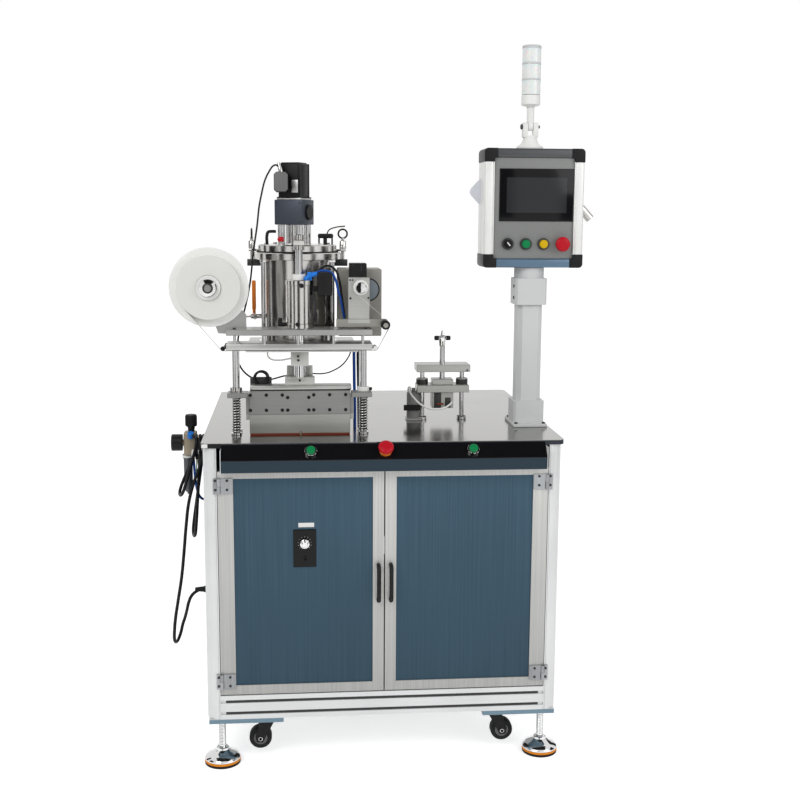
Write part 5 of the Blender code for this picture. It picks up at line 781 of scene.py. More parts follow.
def press_head():
    """The head bar with its crosshead, rod, stop nuts and tabs."""
    half, front, back = 0.12675, -0.322, -0.276
    low, top = 0.953, 0.9625
    bars = [block((PRESS_X - half + 0.003, front, low), (PRESS_X + half + 0.003, back, top), 0.0009),
            block((PRESS_X - 0.0375, PRESS_Y - 0.0175, top - 0.0005),
                  (PRESS_X + 0.0375, PRESS_Y + 0.0175, top + 0.0205),
                  0.001)]
    for dx in (-0.024, 0.024):
        bars += [block((PRESS_X + dx - 0.01, PRESS_Y + 0.0165, top + 0.002),
                       (PRESS_X + dx + 0.01, PRESS_Y + 0.0245, top + 0.0175), 0.0004),
                 block((PRESS_X + dx - 0.009, PRESS_Y + 0.0225, top + 0.003),
                       (PRESS_X + dx + 0.009, PRESS_Y + 0.0255, top + 0.046), 0.0004)]
    piece("head_bar", bars, "press_head", "machined", "press_head")
    piston = BARREL_Z + 0.024
    shaft = turned([(0.015, 0.982), (0.015, piston), (0.0311, piston), (0.0311, piston + 0.02),
                    (0.0094, piston + 0.02),
                    (0.0094, 1.3005), (0.009, 1.301)], (PRESS_X, PRESS_Y, 0), sides=64)
    piece("press_rod", shaft, "press_head", "chrome")
    nuts = [turned([(0.0134, 0), (0.014, 0.0006), (0.014, 0.012), (0.0134, 0.0126)],
                   (PRESS_X, PRESS_Y, 1.3005), sides=48),
            hexagon(0.015, 0.0125, (PRESS_X, PRESS_Y, 1.3135)),
            turned([(0.013, 0), (0.0136, 0.0006), (0.0136, 0.0118), (0.0126, 0.013), (0.006, 0.013),
                    (0.0058, 0.0115)],
                   (PRESS_X, PRESS_Y, 1.3265), sides=48)]
    piece("stop_nuts", nuts, "press_head", "steel")
    hole = cap_screw((PRESS_X, PRESS_Y - 0.0175, top + 0.013), FORWARD, 0.003, 0.0008)
    piece("crosshead_screw", hole, "press_head", "black")
    seam = block((PRESS_X - half + 0.004, front + 0.0022, low - 0.0028),
                 (PRESS_X + half + 0.002, back - 0.006, low + 0.0004), 0)
    piece("head_seam", seam, "press_head", "black")


def filling_block():
    """The block's finish, its black screws, the strip's clip, the collars and the cable ring."""
    dress("filling_block", material("block_finish", "machined", grain=(14, 500, 500), fine=0.05, bump=0.05,
                                    zones=[("copper", {"z": (None, 0.8412)}),
                                           ("face_plate", {"z": (0.8902, None)})]))
    face, low_row, high_row = -0.3235, 0.901, 0.9395
    xs = (-0.3318, -0.292, -0.252, -0.2385, -0.1855, -0.173, -0.133, -0.0925)
    heads = []
    for number, x in enumerate(xs):
        drop = 0.0065 if number in (3, 4) else 0.0
        for z in (low_row, high_row - drop):
            heads.append(cap_screw((x, face + 0.0001, z), FORWARD, 0.0044, 0.001))
    piece("face_screws", heads, "press_head", "black")
    clip = [cap_screw((PRESS_X + 0.0015, -0.3222, z), FORWARD, 0.0027, 0.0018) for z in (0.8455, 0.8398)]
    piece("strip_clip", clip, "press_head", "bronze")
    for name, x in zip(("left", "right"), POST_X):
        shell = collar(0.009, 0.0158, 0.0104, (x, POST_Y, 0.948))
        piece(name + "_collar", shell, "press_head", "white" if name == "right" else "steel")
    knob = [cap_screw((POST_X[1] + 0.0155, POST_Y - 0.004, 0.953), (1, -0.3, 0), 0.0042, 0.006)]
    piece("collar_bolt", knob, "press_head", "black")
    coil = [ring((-0.306 + 0.001 * n, -0.286 + 0.0052 * n, 0.977), (0.1, -1, 0.1), 0.017, 0.003, 48)
            for n in range(3)]
    piece("coiled_hose", coil, "press_head", "cable")
    plate = block((-0.3335, -0.276, 0.93), (-0.279, -0.27, 0.979), 0.0006)
    piece("coil_rest", plate, "press_head", "dark_steel")


def air_cylinder():
    """The cylinder's barrel, end caps, bumper, valve box and fittings."""
    z, length = BARREL_Z, 0.1204
    barrel = turned([(0.0345, 0), (0.0355, 0.001), (0.0355, 0.012), (0.0343, 0.0132),
                     (0.0343, length - 0.0132),
                     (0.0355, length - 0.012), (0.0355, length - 0.001), (0.0345, length), (0.012, length),
                     (0.012, length - 0.002)], (PRESS_X, PRESS_Y, z), sides=96)
    piece("cylinder_barrel", barrel, "cabinet", "steel", "air_cylinder")
    bumper = collar(0.0099, 0.017, 0.0138, (PRESS_X, PRESS_Y, z + length + 0.0002), sides=64)
    piece("cylinder_bumper", bumper, "cabinet", "white")
    valve = [block((-0.1622, -0.319, 1.188), (-0.1258, -0.279, 1.246), 0.003, 3),
             block((PRESS_X + 0.03, -0.307, 1.198), (-0.16, -0.291, 1.212), 0.001)]
    piece("valve_box", valve, "cabinet", "black")
    def stub(start, end, radius, sides, rise=0):
        place = Vector((PRESS_X, PRESS_Y, z + rise))
        return rod(place + Vector(start), place + Vector(end), radius, sides)

    port = [stub((-0.031, -0.01, 0.01), (-0.0535, -0.01, 0.01), 0.0052, 24),
            stub((-0.048, -0.01, 0.01), (-0.048, -0.01, 0.026), 0.0052, 24),
            stub((-0.005, -0.035, 0.012), (-0.005, -0.041, 0.012), 0.0052, 24),
            stub((0.006, -0.0335, 0.108), (0.006, -0.045, 0.108), 0.0056, 24)]
    piece("cylinder_ports", port, "cabinet", "black")
    elbow = [stub((0.026, -0.01, -0.001), (0.026, -0.01, 0.02), 0.0062, 28, length),
             stub((0.026, -0.01, 0.012), (0.045, -0.008, 0.016), 0.0058, 28, length),
             stub((0.014, -0.026, 0.002), (0.026, -0.014, 0.012), 0.0052, 28, length)]
    piece("blue_elbows", elbow, "cabinet", "blue_fitting")


# Tank and stirrer
def tank():
    """The polished tank with its flange, legs, clamps, bands and a fitting at its foot."""
    low, high = 1.0563, 1.2914
    under = high - 0.018
    vessel = turned([(0.093, low), (0.096, low + 0.003), (0.096, under), (0.1126, under),
                     (0.1136, under + 0.001),
                     (0.1136, high - 0.002), (0.1116, high), (0.093, high), (0.093, low + 0.004)],
                    (TANK_X, TANK_Y, 0), sides=128)
    piece("tank_vessel", vessel, "cabinet", "steel", "tank")
    legs = []
    for dx in (-0.089, 0.089):
        for dy in (-0.06, 0.06):
            x, y = TANK_X + dx, TANK_Y + dy
            legs += [rod((x, y, low), (x, y, under + 0.0005), 0.0055, 32),
                     hexagon(0.0088, 0.0085, (x, y, low)),
                     hexagon(0.0088, 0.006, (x, y, under - 0.0062))]
    foot = turned([(0.1, 0), (0.102, 0.0008), (0.102, 0.005), (0.1, 0.0058)],
                  (TANK_X, TANK_Y, low - 0.0001), sides=96)
    piece("tank_legs", legs + [foot], "cabinet", "chrome")
    blocks, bolts, eyes = [], [], []
    for side in (-1, 1):
        x = TANK_X + side * 0.1185
        blocks.append(block((TANK_X + side * 0.094, TANK_Y - 0.011, 1.256),
                            (x + side * 0.012, TANK_Y + 0.011, under - 0.0003), 0.001))
        bolts += [rod((x, TANK_Y, 1.27), (x, TANK_Y, 1.33), 0.0042, 24),
                  turned([(0.008, 0), (0.0087, 0.0008), (0.0087, 0.019), (0.0076, 0.021)], (x, TANK_Y, 1.3),
                         sides=40)]
        eyes.append(ring((x, TANK_Y, 1.3395), (0, 1, 0) if side > 0 else (1, 0, 0), 0.0115, 0.0023))
    piece("clamp_blocks", blocks, "cabinet", "dark_steel")
    piece("clamp_bolts", bolts, "cabinet", "steel")
    piece("clamp_rings", eyes, "cabinet", "black")
    gauge = [block((TANK_X - 0.118, TANK_Y - 0.052, 1.145), (TANK_X - 0.108, TANK_Y - 0.038, 1.22), 0.002),
             rod((TANK_X - 0.113, TANK_Y - 0.045, 1.128), (TANK_X - 0.113, TANK_Y - 0.045, 1.145), 0.004,
                 20)]
    piece("side_heater_tube", gauge, "cabinet", "amber")
    fitting = [rod((TANK_X - 0.092, TANK_Y - 0.045, 1.128), (TANK_X - 0.122, TANK_Y - 0.055, 1.128), 0.006,
                   28),
               rod((TANK_X - 0.122, TANK_Y - 0.055, 1.128), (TANK_X - 0.146, TANK_Y - 0.06, 1.127), 0.0022,
                   16),
               hexagon(0.0085, 0.0075, (TANK_X - 0.108, TANK_Y - 0.05, 1.128), (-1, -0.3, 0))]
    piece("tank_fitting", fitting, "cabinet", "steel")


def tank_lid():
    """The lid with its gasket, lugs, pillars, handles, valve knob and drain lever."""
    lid = turned([(0.1015, LID_LOW), (0.1025, LID_LOW + 0.001), (0.1025, LID_TOP - 0.003),
                  (0.0995, LID_TOP), (0.03, LID_TOP),
                  (0.029, LID_TOP + 0.0012)], (TANK_X, TANK_Y, 0), sides=128)
    lugs = [block((TANK_X + side * 0.098, TANK_Y - 0.012, LID_LOW),
                  (TANK_X + side * 0.1265, TANK_Y + 0.012, 1.2997), 0.0008) for side in (-1, 1)]
    piece("lid_plate", [lid] + lugs, "cabinet", "steel", "tank_lid")
    seal = turned([(0.106, 1.2917), (0.1066, 1.2922), (0.1066, 1.2934), (0.106, 1.2939)],
                  (TANK_X, TANK_Y, 0), sides=96)
    piece("lid_seal", seal, "cabinet", "rubber")
    pillars = [rod(stirrer_place((dx, dy, LID_TOP - 0.0005)), stirrer_place((dx, dy, LID_TOP + 0.05)), 0.01,
                   40)
               for dx in (-0.0255, 0.0255) for dy in (-0.0255, 0.0255)]
    piece("drive_pillars", pillars, "cabinet", "chrome")
    left, right, top = TANK_X - 0.078, TANK_X + 0.072, LID_TOP
    bar = as_mesh(wire([(left, TANK_Y - 0.03, top - 0.001), (left, TANK_Y - 0.03, top + 0.024),
                        (left + 0.003, TANK_Y - 0.029, top + 0.0315),
                        (left + 0.01, TANK_Y - 0.027, top + 0.033),
                        (left + 0.022, TANK_Y - 0.022, top + 0.033)], 0.004))
    grip = [rod((right, TANK_Y - 0.02, top - 0.001), (right, TANK_Y - 0.02, top + 0.022), 0.005, 24),
            block((right - 0.019, TANK_Y - 0.027, top + 0.016),
                  (right + 0.021, TANK_Y - 0.013, top + 0.028), 0.0045, 4),
            rod((right - 0.016, TANK_Y - 0.02, top - 0.001), (right - 0.016, TANK_Y - 0.02, top + 0.018),
                0.0022, 16),
            rod((right + 0.018, TANK_Y - 0.02, top - 0.001), (right + 0.018, TANK_Y - 0.02, top + 0.018),
                0.0022, 16)]
    lever = as_mesh(wire([(right + 0.004, TANK_Y - 0.02, top + 0.026),
                          (right + 0.01, TANK_Y - 0.02, top + 0.037),
                          (right + 0.024, TANK_Y - 0.018, top + 0.0435),
                          (right + 0.052, TANK_Y - 0.016, top + 0.0475)], 0.0016))
    piece("lid_handles", [bar, lever] + grip, "cabinet", "black")
    knob_x, y = TANK_X - 0.042, TANK_Y - 0.07
    neck = [rod((knob_x, y, top - 0.001), (knob_x, y, top + 0.01), 0.0045, 24),
            hexagon(0.0075, 0.004, (knob_x, y, top))]
    piece("valve_neck", neck, "cabinet", "steel")
    knob = [turned([(0.0065, 0.008), (0.0078, 0.0095), (0.0078, 0.0165), (0.006, 0.02), (0.003, 0.021)],
                   (knob_x, y, top), sides=32),
            block((knob_x - 0.009, y - 0.003, top + 0.011), (knob_x + 0.003, y + 0.003, top + 0.0165),
                  0.0015)]
    piece("valve_knob", knob, "cabinet", "red")
    bolts = [hexagon(0.0062, 0.0042,
                     (TANK_X + 0.083 * math.cos(a), TANK_Y + 0.083 * math.sin(a), LID_TOP - 0.0002))
             for a in (math.radians(15 + 60 * n) for n in range(6))]
    piece("lid_bolts", bolts, "cabinet", "steel")


STIRRER_SPIN = Matrix.Rotation(STIRRER_TURN, 4, "Z")
DRIVE_LOW, DRIVE_TOP = 1.3622, 1.4262


def stirrer_way(direction):
    """A direction of the stirrer's own turned axes."""
    return STIRRER_SPIN.to_3x3() @ Vector(direction)


def stirrer_place(point):
    """A place about the stirrer's own turned axes."""
    return Vector((STIRRER_X, TANK_Y, 0)) + stirrer_way(point)


def connector(half, tall, chamfer, depth, out=0.0):
    """The motor's eight-sided connector box, or its cover when out is its distance forward."""
    points = [(half - chamfer, tall), (half, tall - chamfer), (half, chamfer - tall),
              (half - chamfer, -tall),
              (chamfer - half, -tall), (-half, chamfer - tall), (-half, tall - chamfer),
              (chamfer - half, tall)]
    x, z = STIRRER_X - 0.033, DRIVE_TOP + 0.044
    front = TANK_Y - 0.044 - out
    return cut_sheet([(x + a, z + b) for a, b in points], front, front + depth, 0.001)


def stirrer():
    """Finishes and small pieces of the gearbox, the motor and its connector."""
    low, high = DRIVE_LOW, DRIVE_TOP
    dress("agitator", look("steel"))

    def turned_block(low_corner, high_corner, edge=0.0008):
        item = block(Vector(low_corner) - SHIFT, Vector(high_corner) - SHIFT, edge)
        item.data.transform(Matrix.Translation(drawn((STIRRER_X, TANK_Y, 0))) @ STIRRER_SPIN)
        return item

    motor = 0.03
    plate = turned_block((motor - 0.023, -motor - 0.0006, high + 0.018),
                         (motor - 0.006, -motor + 0.0002, high + 0.05), 0.0002)
    piece("motor_plate", plate, "cabinet", "silver_plate")
    half = 0.039
    piece("gearbox", turned_block((-half, -half, low), (half, half, high), 0.0022), "cabinet", "slate",
          "stirrer_motor")
    adapter = [turned_block((-half + 0.0004, -half + 0.0004, high - 0.0045),
                            (half - 0.0004, half - 0.0004, high - 0.003), 0),
               turned_block((-0.034, -0.034, high - 0.0005), (0.034, 0.034, high + 0.004), 0.0008)]
    piece("motor_adapter", adapter, "cabinet", "silver_plate")
    body = [turned_block((-motor, -motor, high + 0.0035), (motor, motor, high + 0.092), 0.005),
            turned_block((-motor + 0.004, -motor + 0.004, high + 0.089),
                         (motor - 0.004, motor - 0.004, high + 0.0948), 0.0026),
            turned([(0.019, 0), (0.02, 0.0008), (0.02, 0.0062), (0.0192, 0.007)],
                   stirrer_place((half - 0.0005, 0, (low + high) / 2)), stirrer_way((1, 0, 0)))]
    body += [turned_block((x - 0.0035, y - 0.0035, high + 0.0035), (x + 0.0035, y + 0.0035, high + 0.092),
                          0.0014)
             for x in (-motor + 0.0028, motor - 0.0028) for y in (-motor + 0.0028, motor - 0.0028)]
    piece("motor_body", body, "cabinet", "motor")
    shell = connector(0.0185, 0.026, 0.0065, 0.023)
    piece("connector_shell", shell, "cabinet", "motor")
    cover = connector(0.0168, 0.0243, 0.0058, 0.0012, 0.0232)
    screws = [cap_screw(stirrer_place((dx, dy, high + 0.004)), (0, 0, 1), 0.0032, 0.003)
              for dx in (-0.0315, 0.0315) for dy in (-0.0315, 0.0315)]
    screws += [cap_screw(stirrer_place((dx, -0.0392, dz)), stirrer_way((0, -1, 0)), 0.0022, 0.001)
               for dx in (-0.033, 0.033) for dz in (low + 0.006, high - 0.008)]
    piece("drive_screws", screws, "cabinet", "dark_steel")
    piece("connector_cover", cover, "cabinet", "cover_grey")
    gland = [turned([(0.0058, 0), (0.0058, 0.01), (0.0046, 0.013), (0.0036, 0.024), (0.003, 0.026)],
                    (-0.251, -0.186, 1.495), (-0.25, 0.0, 1), 24)]
    piece("cable_gland", gland, "cabinet", "steel")


# Film feed
def reel():
    """The reel: its flange, the film roll, the hub and the knurled knob."""
    back = FILM_Y + 0.014 - 0.0026
    x, z = REEL
    way = (0, -1, 0)
    flange = turned([(0.0975, 0), (0.098, 0.0006), (0.098, 0.0018), (0.0975, 0.0024), (0.0068, 0.0024),
                     (0.0066, 0.0001)],
                    (x, back, z), way, 128)
    piece("reel_flange", flange, "supply_reel", "white", "supply_reel")
    winding = material("film_roll", "film_roll", grain=(2200, 40, 2200), fine=0.03, bump=0.05, blotch=0.02)
    roll = collar(0.0312, 0.0785, 0.02, (x, back - 0.0022, z), way, 128, 0.0004)
    piece("film_roll", roll, "supply_reel", winding)
    hub = collar(0.015, 0.0305, 0.0255, (x, back - 0.0022, z), way, 96)
    piece("reel_hub", hub, "supply_reel", "film")
    knob = turned([(0.007, 0.0272), (0.0205, 0.0272), (0.0213, 0.028), (0.0213, 0.0365), (0.0195, 0.0385),
                   (0.013, 0.0395),
                   (0.012, 0.037), (0.007, 0.0368)], (x, back, z), way, 64)
    ribs = ridges(40, 0.0212, (x, back - 0.0285, z), 0.0078, 0.0008)
    piece("reel_knob", [knob] + ribs, "supply_reel", "chrome")
    eye = turned([(0.0118, 0), (0.0118, 0.0012), (0.01, 0.0022), (0.004, 0.0026)], (x, back - 0.0368, z),
                 way, 48)
    piece("reel_knob_eye", eye, "supply_reel", "dark_steel")


def takeup():
    """Finishes, screws, disc and rollers of the take-up drive."""
    dress("takeup_unit",
          material("unit_finish", "unit_grey", grain=(12, 300, 500), fine=0.04, bump=0.06, zones=[
        ("unit_front", {"x": (-0.0862, -0.0313), "y": (None, -0.3095), "z": (1.12, 1.2342)}),
        ("black", {"y": (None, -0.2665), "z": (1.2345, None)}),
        ("chrome", {"y": (None, -0.3225), "z": (1.13, None)})]))
    dress("film_web", look("film"))
    screws = [cap_screw((x, UNIT_Y - 0.0001, z), FORWARD, r, 0.0012)
              for x, z, r in ((-0.0805, 1.2275, 0.0022), (-0.0745, 1.2275, 0.0022), (-0.08, 1.182, 0.003),
                              (-0.035, 1.183, 0.0026))]
    piece("unit_screws", screws, "cabinet", "dark_steel")
    disc = turned([(0.0268, 0), (0.0268, 0.0006)], (-0.0354, UNIT_Y + 0.0099, 1.203), FORWARD, 64)
    piece("sensor_disc", disc, "cabinet", "disc_face")
    rim = collar(0.0262, 0.0294, 0.0052, (-0.0354, UNIT_Y + 0.0141, 1.203), FORWARD, 64)
    piece("sensor_disc_rim", rim, "cabinet", "black")
    box_marks = [block((-0.075, UNIT_Y + 0.0014, 1.2625), (-0.0725, UNIT_Y + 0.0021, 1.265), 0.0002),
                 block((-0.0535, UNIT_Y + 0.0014, 1.25), (-0.052, UNIT_Y + 0.0021, 1.263), 0.0002)]
    piece("unit_box_lamps", box_marks, "cabinet", "dark_steel")
    x, z = SPINDLE
    base = UNIT_Y - 0.0003
    core = turned([(0.0178, 0), (0.0185, 0.0008), (0.0185, 0.0275), (0.0135, 0.028), (0.005, 0.028)],
                  (x, base, z), FORWARD, 64)
    piece("takeup_core", core, "takeup_spindle", "white", "takeup_spindle")
    knob = turned([(0.0125, 0.0278), (0.0135, 0.0285), (0.0135, 0.0345), (0.012, 0.0362), (0.007, 0.0368),
                   (0.002, 0.0369)],
                  (x, base, z), FORWARD, 48)
    ribs = ridges(26, 0.0134, (x, base - 0.0288, z), 0.0054, 0.0006)
    piece("takeup_knob", [knob] + ribs, "takeup_spindle", "chrome")
    x, z = ROLLER
    roller = turned([(0.0107, 0), (0.0115, 0.0008), (0.0115, 0.0275), (0.0107, 0.0283), (0.006, 0.0283),
                     (0.0055, 0.027)],
                    (x, base, z), FORWARD, 48)
    piece("roller_sleeve", roller, "guide_roller", "black", "guide_roller")
    cap = turned([(0.0052, 0.0268), (0.0052, 0.032), (0.0046, 0.0326)], (x, base, z), FORWARD, 32)
    piece("roller_cap", cap, "guide_roller", "chrome")


# Clamp fixture
def fixture():
    """The clamp: posts and plates, the sliding jaw with its wing nut, and the side cylinder."""
    x, y, base = FIX_X, FIX_Y, TABLE_Z + 0.0003
    dress("fixture_frame",
          material("fixture_finish", "machined", grain=(14, 400, 500), fine=0.05, bump=0.06, zones=[
        ("black", {"x": (None, 0.129), "z": (0.864, 0.881)})]))
    dress("fixture_slide", material("slide_finish", "machined", grain=(14, 400, 500), fine=0.05, bump=0.06))
    posts, feet, bushes = [], [], []
    for side in (-1, 1):
        px = x + side * 0.0545
        posts.append(rod((px, y, base), (px, y, 0.9712), 0.0067, 40))
        feet.append(turned([(0.0125, 0), (0.0133, 0.0008), (0.0133, 0.0072), (0.0125, 0.008)],
                           (px, y, base), sides=40))
        bushes.append(turned([(0.0158, 0), (0.0162, 0.0008), (0.0162, 0.013), (0.014, 0.0158),
                              (0.0105, 0.0162), (0.0072, 0.0162), (0.0072, 0.012)],
                             (px, y, 0.9349), sides=40))
    piece("clamp_posts", posts + feet, "cabinet", "chrome")
    heads = [cap_screw((x + side * 0.0545 + 0.0118 * math.cos(a), y + 0.0118 * math.sin(a), 0.95),
                       (0, 0, 1), 0.002, 0.0016, 12)
             for side in (-1, 1) for a in (math.radians(45 + 90 * n) for n in range(4))]
    piece("clamp_bushes", bushes, "fixture_slide", "dark_steel")
    piece("bush_screws", heads, "fixture_slide", "steel")
    shaft = turned([(0.0077, 0.938), (0.0077, 1.038), (0.0087, 1.0395), (0.01, 1.054), (0.0104, 1.055),
                    (0.0104, 1.0655),
                    (0.0085, 1.068), (0.0052, 1.0685), (0.0036, 1.079), (0.0012, 1.0812)], (x, y, 0),
                    sides=48)
    piece("clamp_screw", shaft, "fixture_slide", "chrome")
    wings = [block((x + side * 0.009, y - 0.005, 1.054), (x + side * 0.0222, y + 0.005, 1.0664), 0.003, 3)
             for side in (-1, 1)]
    piece("wing_nut_arms", wings, "fixture_slide", "black")
    sx = x - 0.078
    barrel = turned([(0.018, base + 0.004), (0.0183, base + 0.005), (0.0183, 0.9105), (0.0165, 0.913),
                     (0.015, 0.9142), (0.0055, 0.9142), (0.005, 0.9235), (0.003, 0.9242)],
                    (sx, y, 0), sides=56)
    piece("side_cylinder_shown", barrel, "cabinet", "panel_grey")
    nozzle = [turned([(0.0046, 0), (0.0052, 0.001), (0.0052, 0.01), (0.004, 0.0125)],
                     (0.0895, y - 0.004, 0.9165), (0.05, -0.4, 1), 24)]
    piece("side_nozzle", nozzle, "cabinet", "white")
    links = [block((x - 0.024, y - 0.0226, 0.8712), (x - 0.004, y - 0.0206, 0.914), 0.0006),
             block((x + 0.006, y - 0.0226, 0.8712), (x + 0.022, y - 0.0206, 0.9), 0.0006)]
    piece("jaw_plates", links, "fixture_slide", "dark_steel")
    copper = block((x - 0.016, y - 0.0236, 0.88), (x + 0.002, y - 0.0224, 0.885), 0.0004)
    piece("jaw_pad", copper, "fixture_slide", "copper")
    screw = cap_screw((x + 0.064, y - 0.0348, 0.976), FORWARD, 0.0026, 0.0012)
    piece("fixture_screws", screw, "cabinet", "dark_steel")


# Control box
def control_box():
    """Finishes of the control box, its corners, screen edge, controls and post screws."""
    left, right = BOX_X - 0.1305, BOX_X + 0.1305
    middle = BOX_FRONT + 0.05
    case = [block((left + 0.024, PANEL_Y, BOX_LOW + 0.022),
                  (right - 0.024, BOX_FRONT + 0.099, BOX_TOP - 0.022), 0.0006)]
    piece("box_panel", case, "control_box", "panel_grey", "hmi_box")
    sides = []
    for x, sign in ((left, 1), (right, -1)):
        sides += [block((x, BOX_FRONT, BOX_LOW + 0.03), (x + sign * 0.025, middle - 0.0008, BOX_TOP - 0.03),
                        0.0075, 5),
                  block((x, middle + 0.0008, BOX_LOW + 0.03),
                        (x + sign * 0.025, BOX_FRONT + 0.1, BOX_TOP - 0.03), 0.0075, 5),
                  block((x + sign * 0.009 - 0.0065, BOX_FRONT + 0.02, BOX_LOW + 0.03),
                        (x + sign * 0.009 + 0.0065, BOX_FRONT + 0.08, BOX_TOP - 0.03), 0),
                  block((x + sign * 0.0235, BOX_FRONT + 0.0008, BOX_LOW + 0.024),
                        (x + sign * 0.0258, BOX_FRONT + 0.006, BOX_TOP - 0.024), 0.0004)]
    piece("box_side_profiles", sides, "control_box", "profile_white")
    for name, low, high, finish in (("top", BOX_TOP - 0.024, BOX_TOP, "profile_dark"),
                                    ("bottom", BOX_LOW, BOX_LOW + 0.024, "profile_blue")):
        bar = [block((left + 0.03, BOX_FRONT + 0.0006, low), (right - 0.03, BOX_FRONT + 0.1, high), 0.006,
                     4),
               block((left + 0.032, BOX_FRONT - 0.0002, (low + high) / 2 - 0.0052),
                     (right - 0.032, BOX_FRONT + 0.003, (low + high) / 2 - 0.004), 0.0002)]
        piece(f"box_{name}_profile", bar, "control_box", finish)
    flap = [(left + 0.0015, 1.485), (left - 0.006, 1.48), (left - 0.0255, 1.459), (left - 0.0288, 1.453),
            (left - 0.029, 1.448),
            (left - 0.0265, 1.442), (left - 0.006, 1.42), (left + 0.0015, 1.4165)]
    piece("box_flap", cut_sheet(flap, BOX_Y + 0.01, BOX_Y + 0.013, 0.0006), "control_box", "flap")
    dress("touch_screen", material("screen_finish", "gloss_black", fine=0.01, bump=0.0, blotch=0.02, zones=[
        ("display", {"x": (0.3265, 0.4835), "z": (1.3965, 1.486)})]))
    corners = []
    for x, sx in ((left, 1), (right, -1)):
        for z, sz in ((BOX_LOW, 1), (BOX_TOP, -1)):
            outline = [(0.0345, -0.0004), (0.0345, 0.0238), (0.0262, 0.0238), (0.0262, 0.0345),
                       (-0.0006, 0.0345)]
            outline += [(0.0094 - 0.01 * math.cos(a), 0.0096 - 0.01 * math.sin(a))
                        for a in (math.radians(15 * n) for n in range(7))]
            corners.append(cut_sheet([(x + sx * a, z + sz * b) for a, b in outline], BOX_FRONT - 0.0008,
                                     BOX_FRONT + 0.1008, 0.0022, 3))
    piece("box_corners", corners, "control_box", "black")
    rims = [block((0.3075, PANEL_Y - 0.0026, 1.3745), (0.5015, PANEL_Y + 0.0002, 1.5085), 0.0008)]
    piece("screen_rim", rims, "control_box", "black")
    glass = block((0.309, PANEL_Y - 0.0034, 1.376), (0.5, PANEL_Y - 0.002, 1.507), 0.0006)
    screen = material("glass_finish", "gloss_black", fine=0.01, bump=0.0, blotch=0.02, zones=[
        ("display", {"x": (0.3265, 0.4835), "z": (1.3965, 1.486)})])
    piece("screen_glass", glass, "control_box", screen, "touch_screen")
    knob = turned([(0.01, -0.004), (0.0109, 0.001), (0.0109, 0.011), (0.01, 0.012), (0.002, 0.0121)],
                  (SELECTOR_X, PANEL_Y, CONTROL_Z), FORWARD)
    lever = block((SELECTOR_X - 0.0035, PANEL_Y - 0.02, CONTROL_Z - 0.01),
                  (SELECTOR_X + 0.0035, PANEL_Y - 0.011, CONTROL_Z + 0.01), 0.0012)
    spin = Matrix.Rotation(math.radians(40), 4, FORWARD)
    pivot = Matrix.Translation(drawn((SELECTOR_X, PANEL_Y, CONTROL_Z)))
    lever.data.transform(pivot @ spin @ pivot.inverted())
    piece("selector_knob", [knob, lever], "selector_switch", "black", "selector_switch")
    pointer = block((SELECTOR_X - 0.0014, PANEL_Y - 0.0205, CONTROL_Z - 0.006),
                    (SELECTOR_X + 0.0014, PANEL_Y - 0.0196, CONTROL_Z + 0.006), 0.0002)
    pointer.data.transform(pivot @ spin @ pivot.inverted())
    piece("selector_pointer", pointer, "selector_switch", "white")
    piece("selector_bezel", collar(0.0114, 0.0151, 0.0079, (SELECTOR_X, PANEL_Y, CONTROL_Z), FORWARD),
          "control_box", "dark_steel")
    button("panel_green_cap", (0.3787, PANEL_Y, CONTROL_Z), FORWARD, "green", "hmi_green_button",
           "dark_steel", "control_box")
    button("panel_yellow_cap", (0.425, PANEL_Y, CONTROL_Z), FORWARD, "yellow", "hmi_yellow_button",
           "dark_steel", "control_box")
    mushroom("panel_stop_head", (0.4735, PANEL_Y, CONTROL_Z), FORWARD, "hmi_emergency_stop", "control_box",
             "red")
    shell = turned([(0.0385, 0), (0.0393, 0.0008), (0.0393, 0.029), (0.038, 0.0302)],
                   (BOX_X, BOX_Y, 1.2252), sides=72)
    piece("post_collar", shell, "cabinet", "grey_paint")
    screws = [cap_screw((BOX_X - 0.0411, BOX_Y - 0.012, z), LEFTWARD, 0.0042, 0.002)
              for z in (1.176, 1.206)]
    screws += [cap_screw((BOX_X + dx, BOX_Y + dy, TABLE_Z + 0.0083), (0, 0, 1), 0.0045, 0.0038)
               for dx in (-0.037, 0.037) for dy in (-0.056, 0.056)]
    piece("post_screws", screws, "cabinet", "dark_steel")
    hub = [turned([(0.0088, 0), (0.0092, 0.0006), (0.0092, 0.015)], (right - 0.001, BOX_Y + 0.02, 1.4),
                  (1, 0, 0), 32),
           rod((right + 0.008, BOX_Y + 0.02, 1.4105), (right + 0.0345, BOX_Y + 0.02, 1.3815), 0.0118, 36)]
    piece("side_lever", hub, "control_box", "steel")


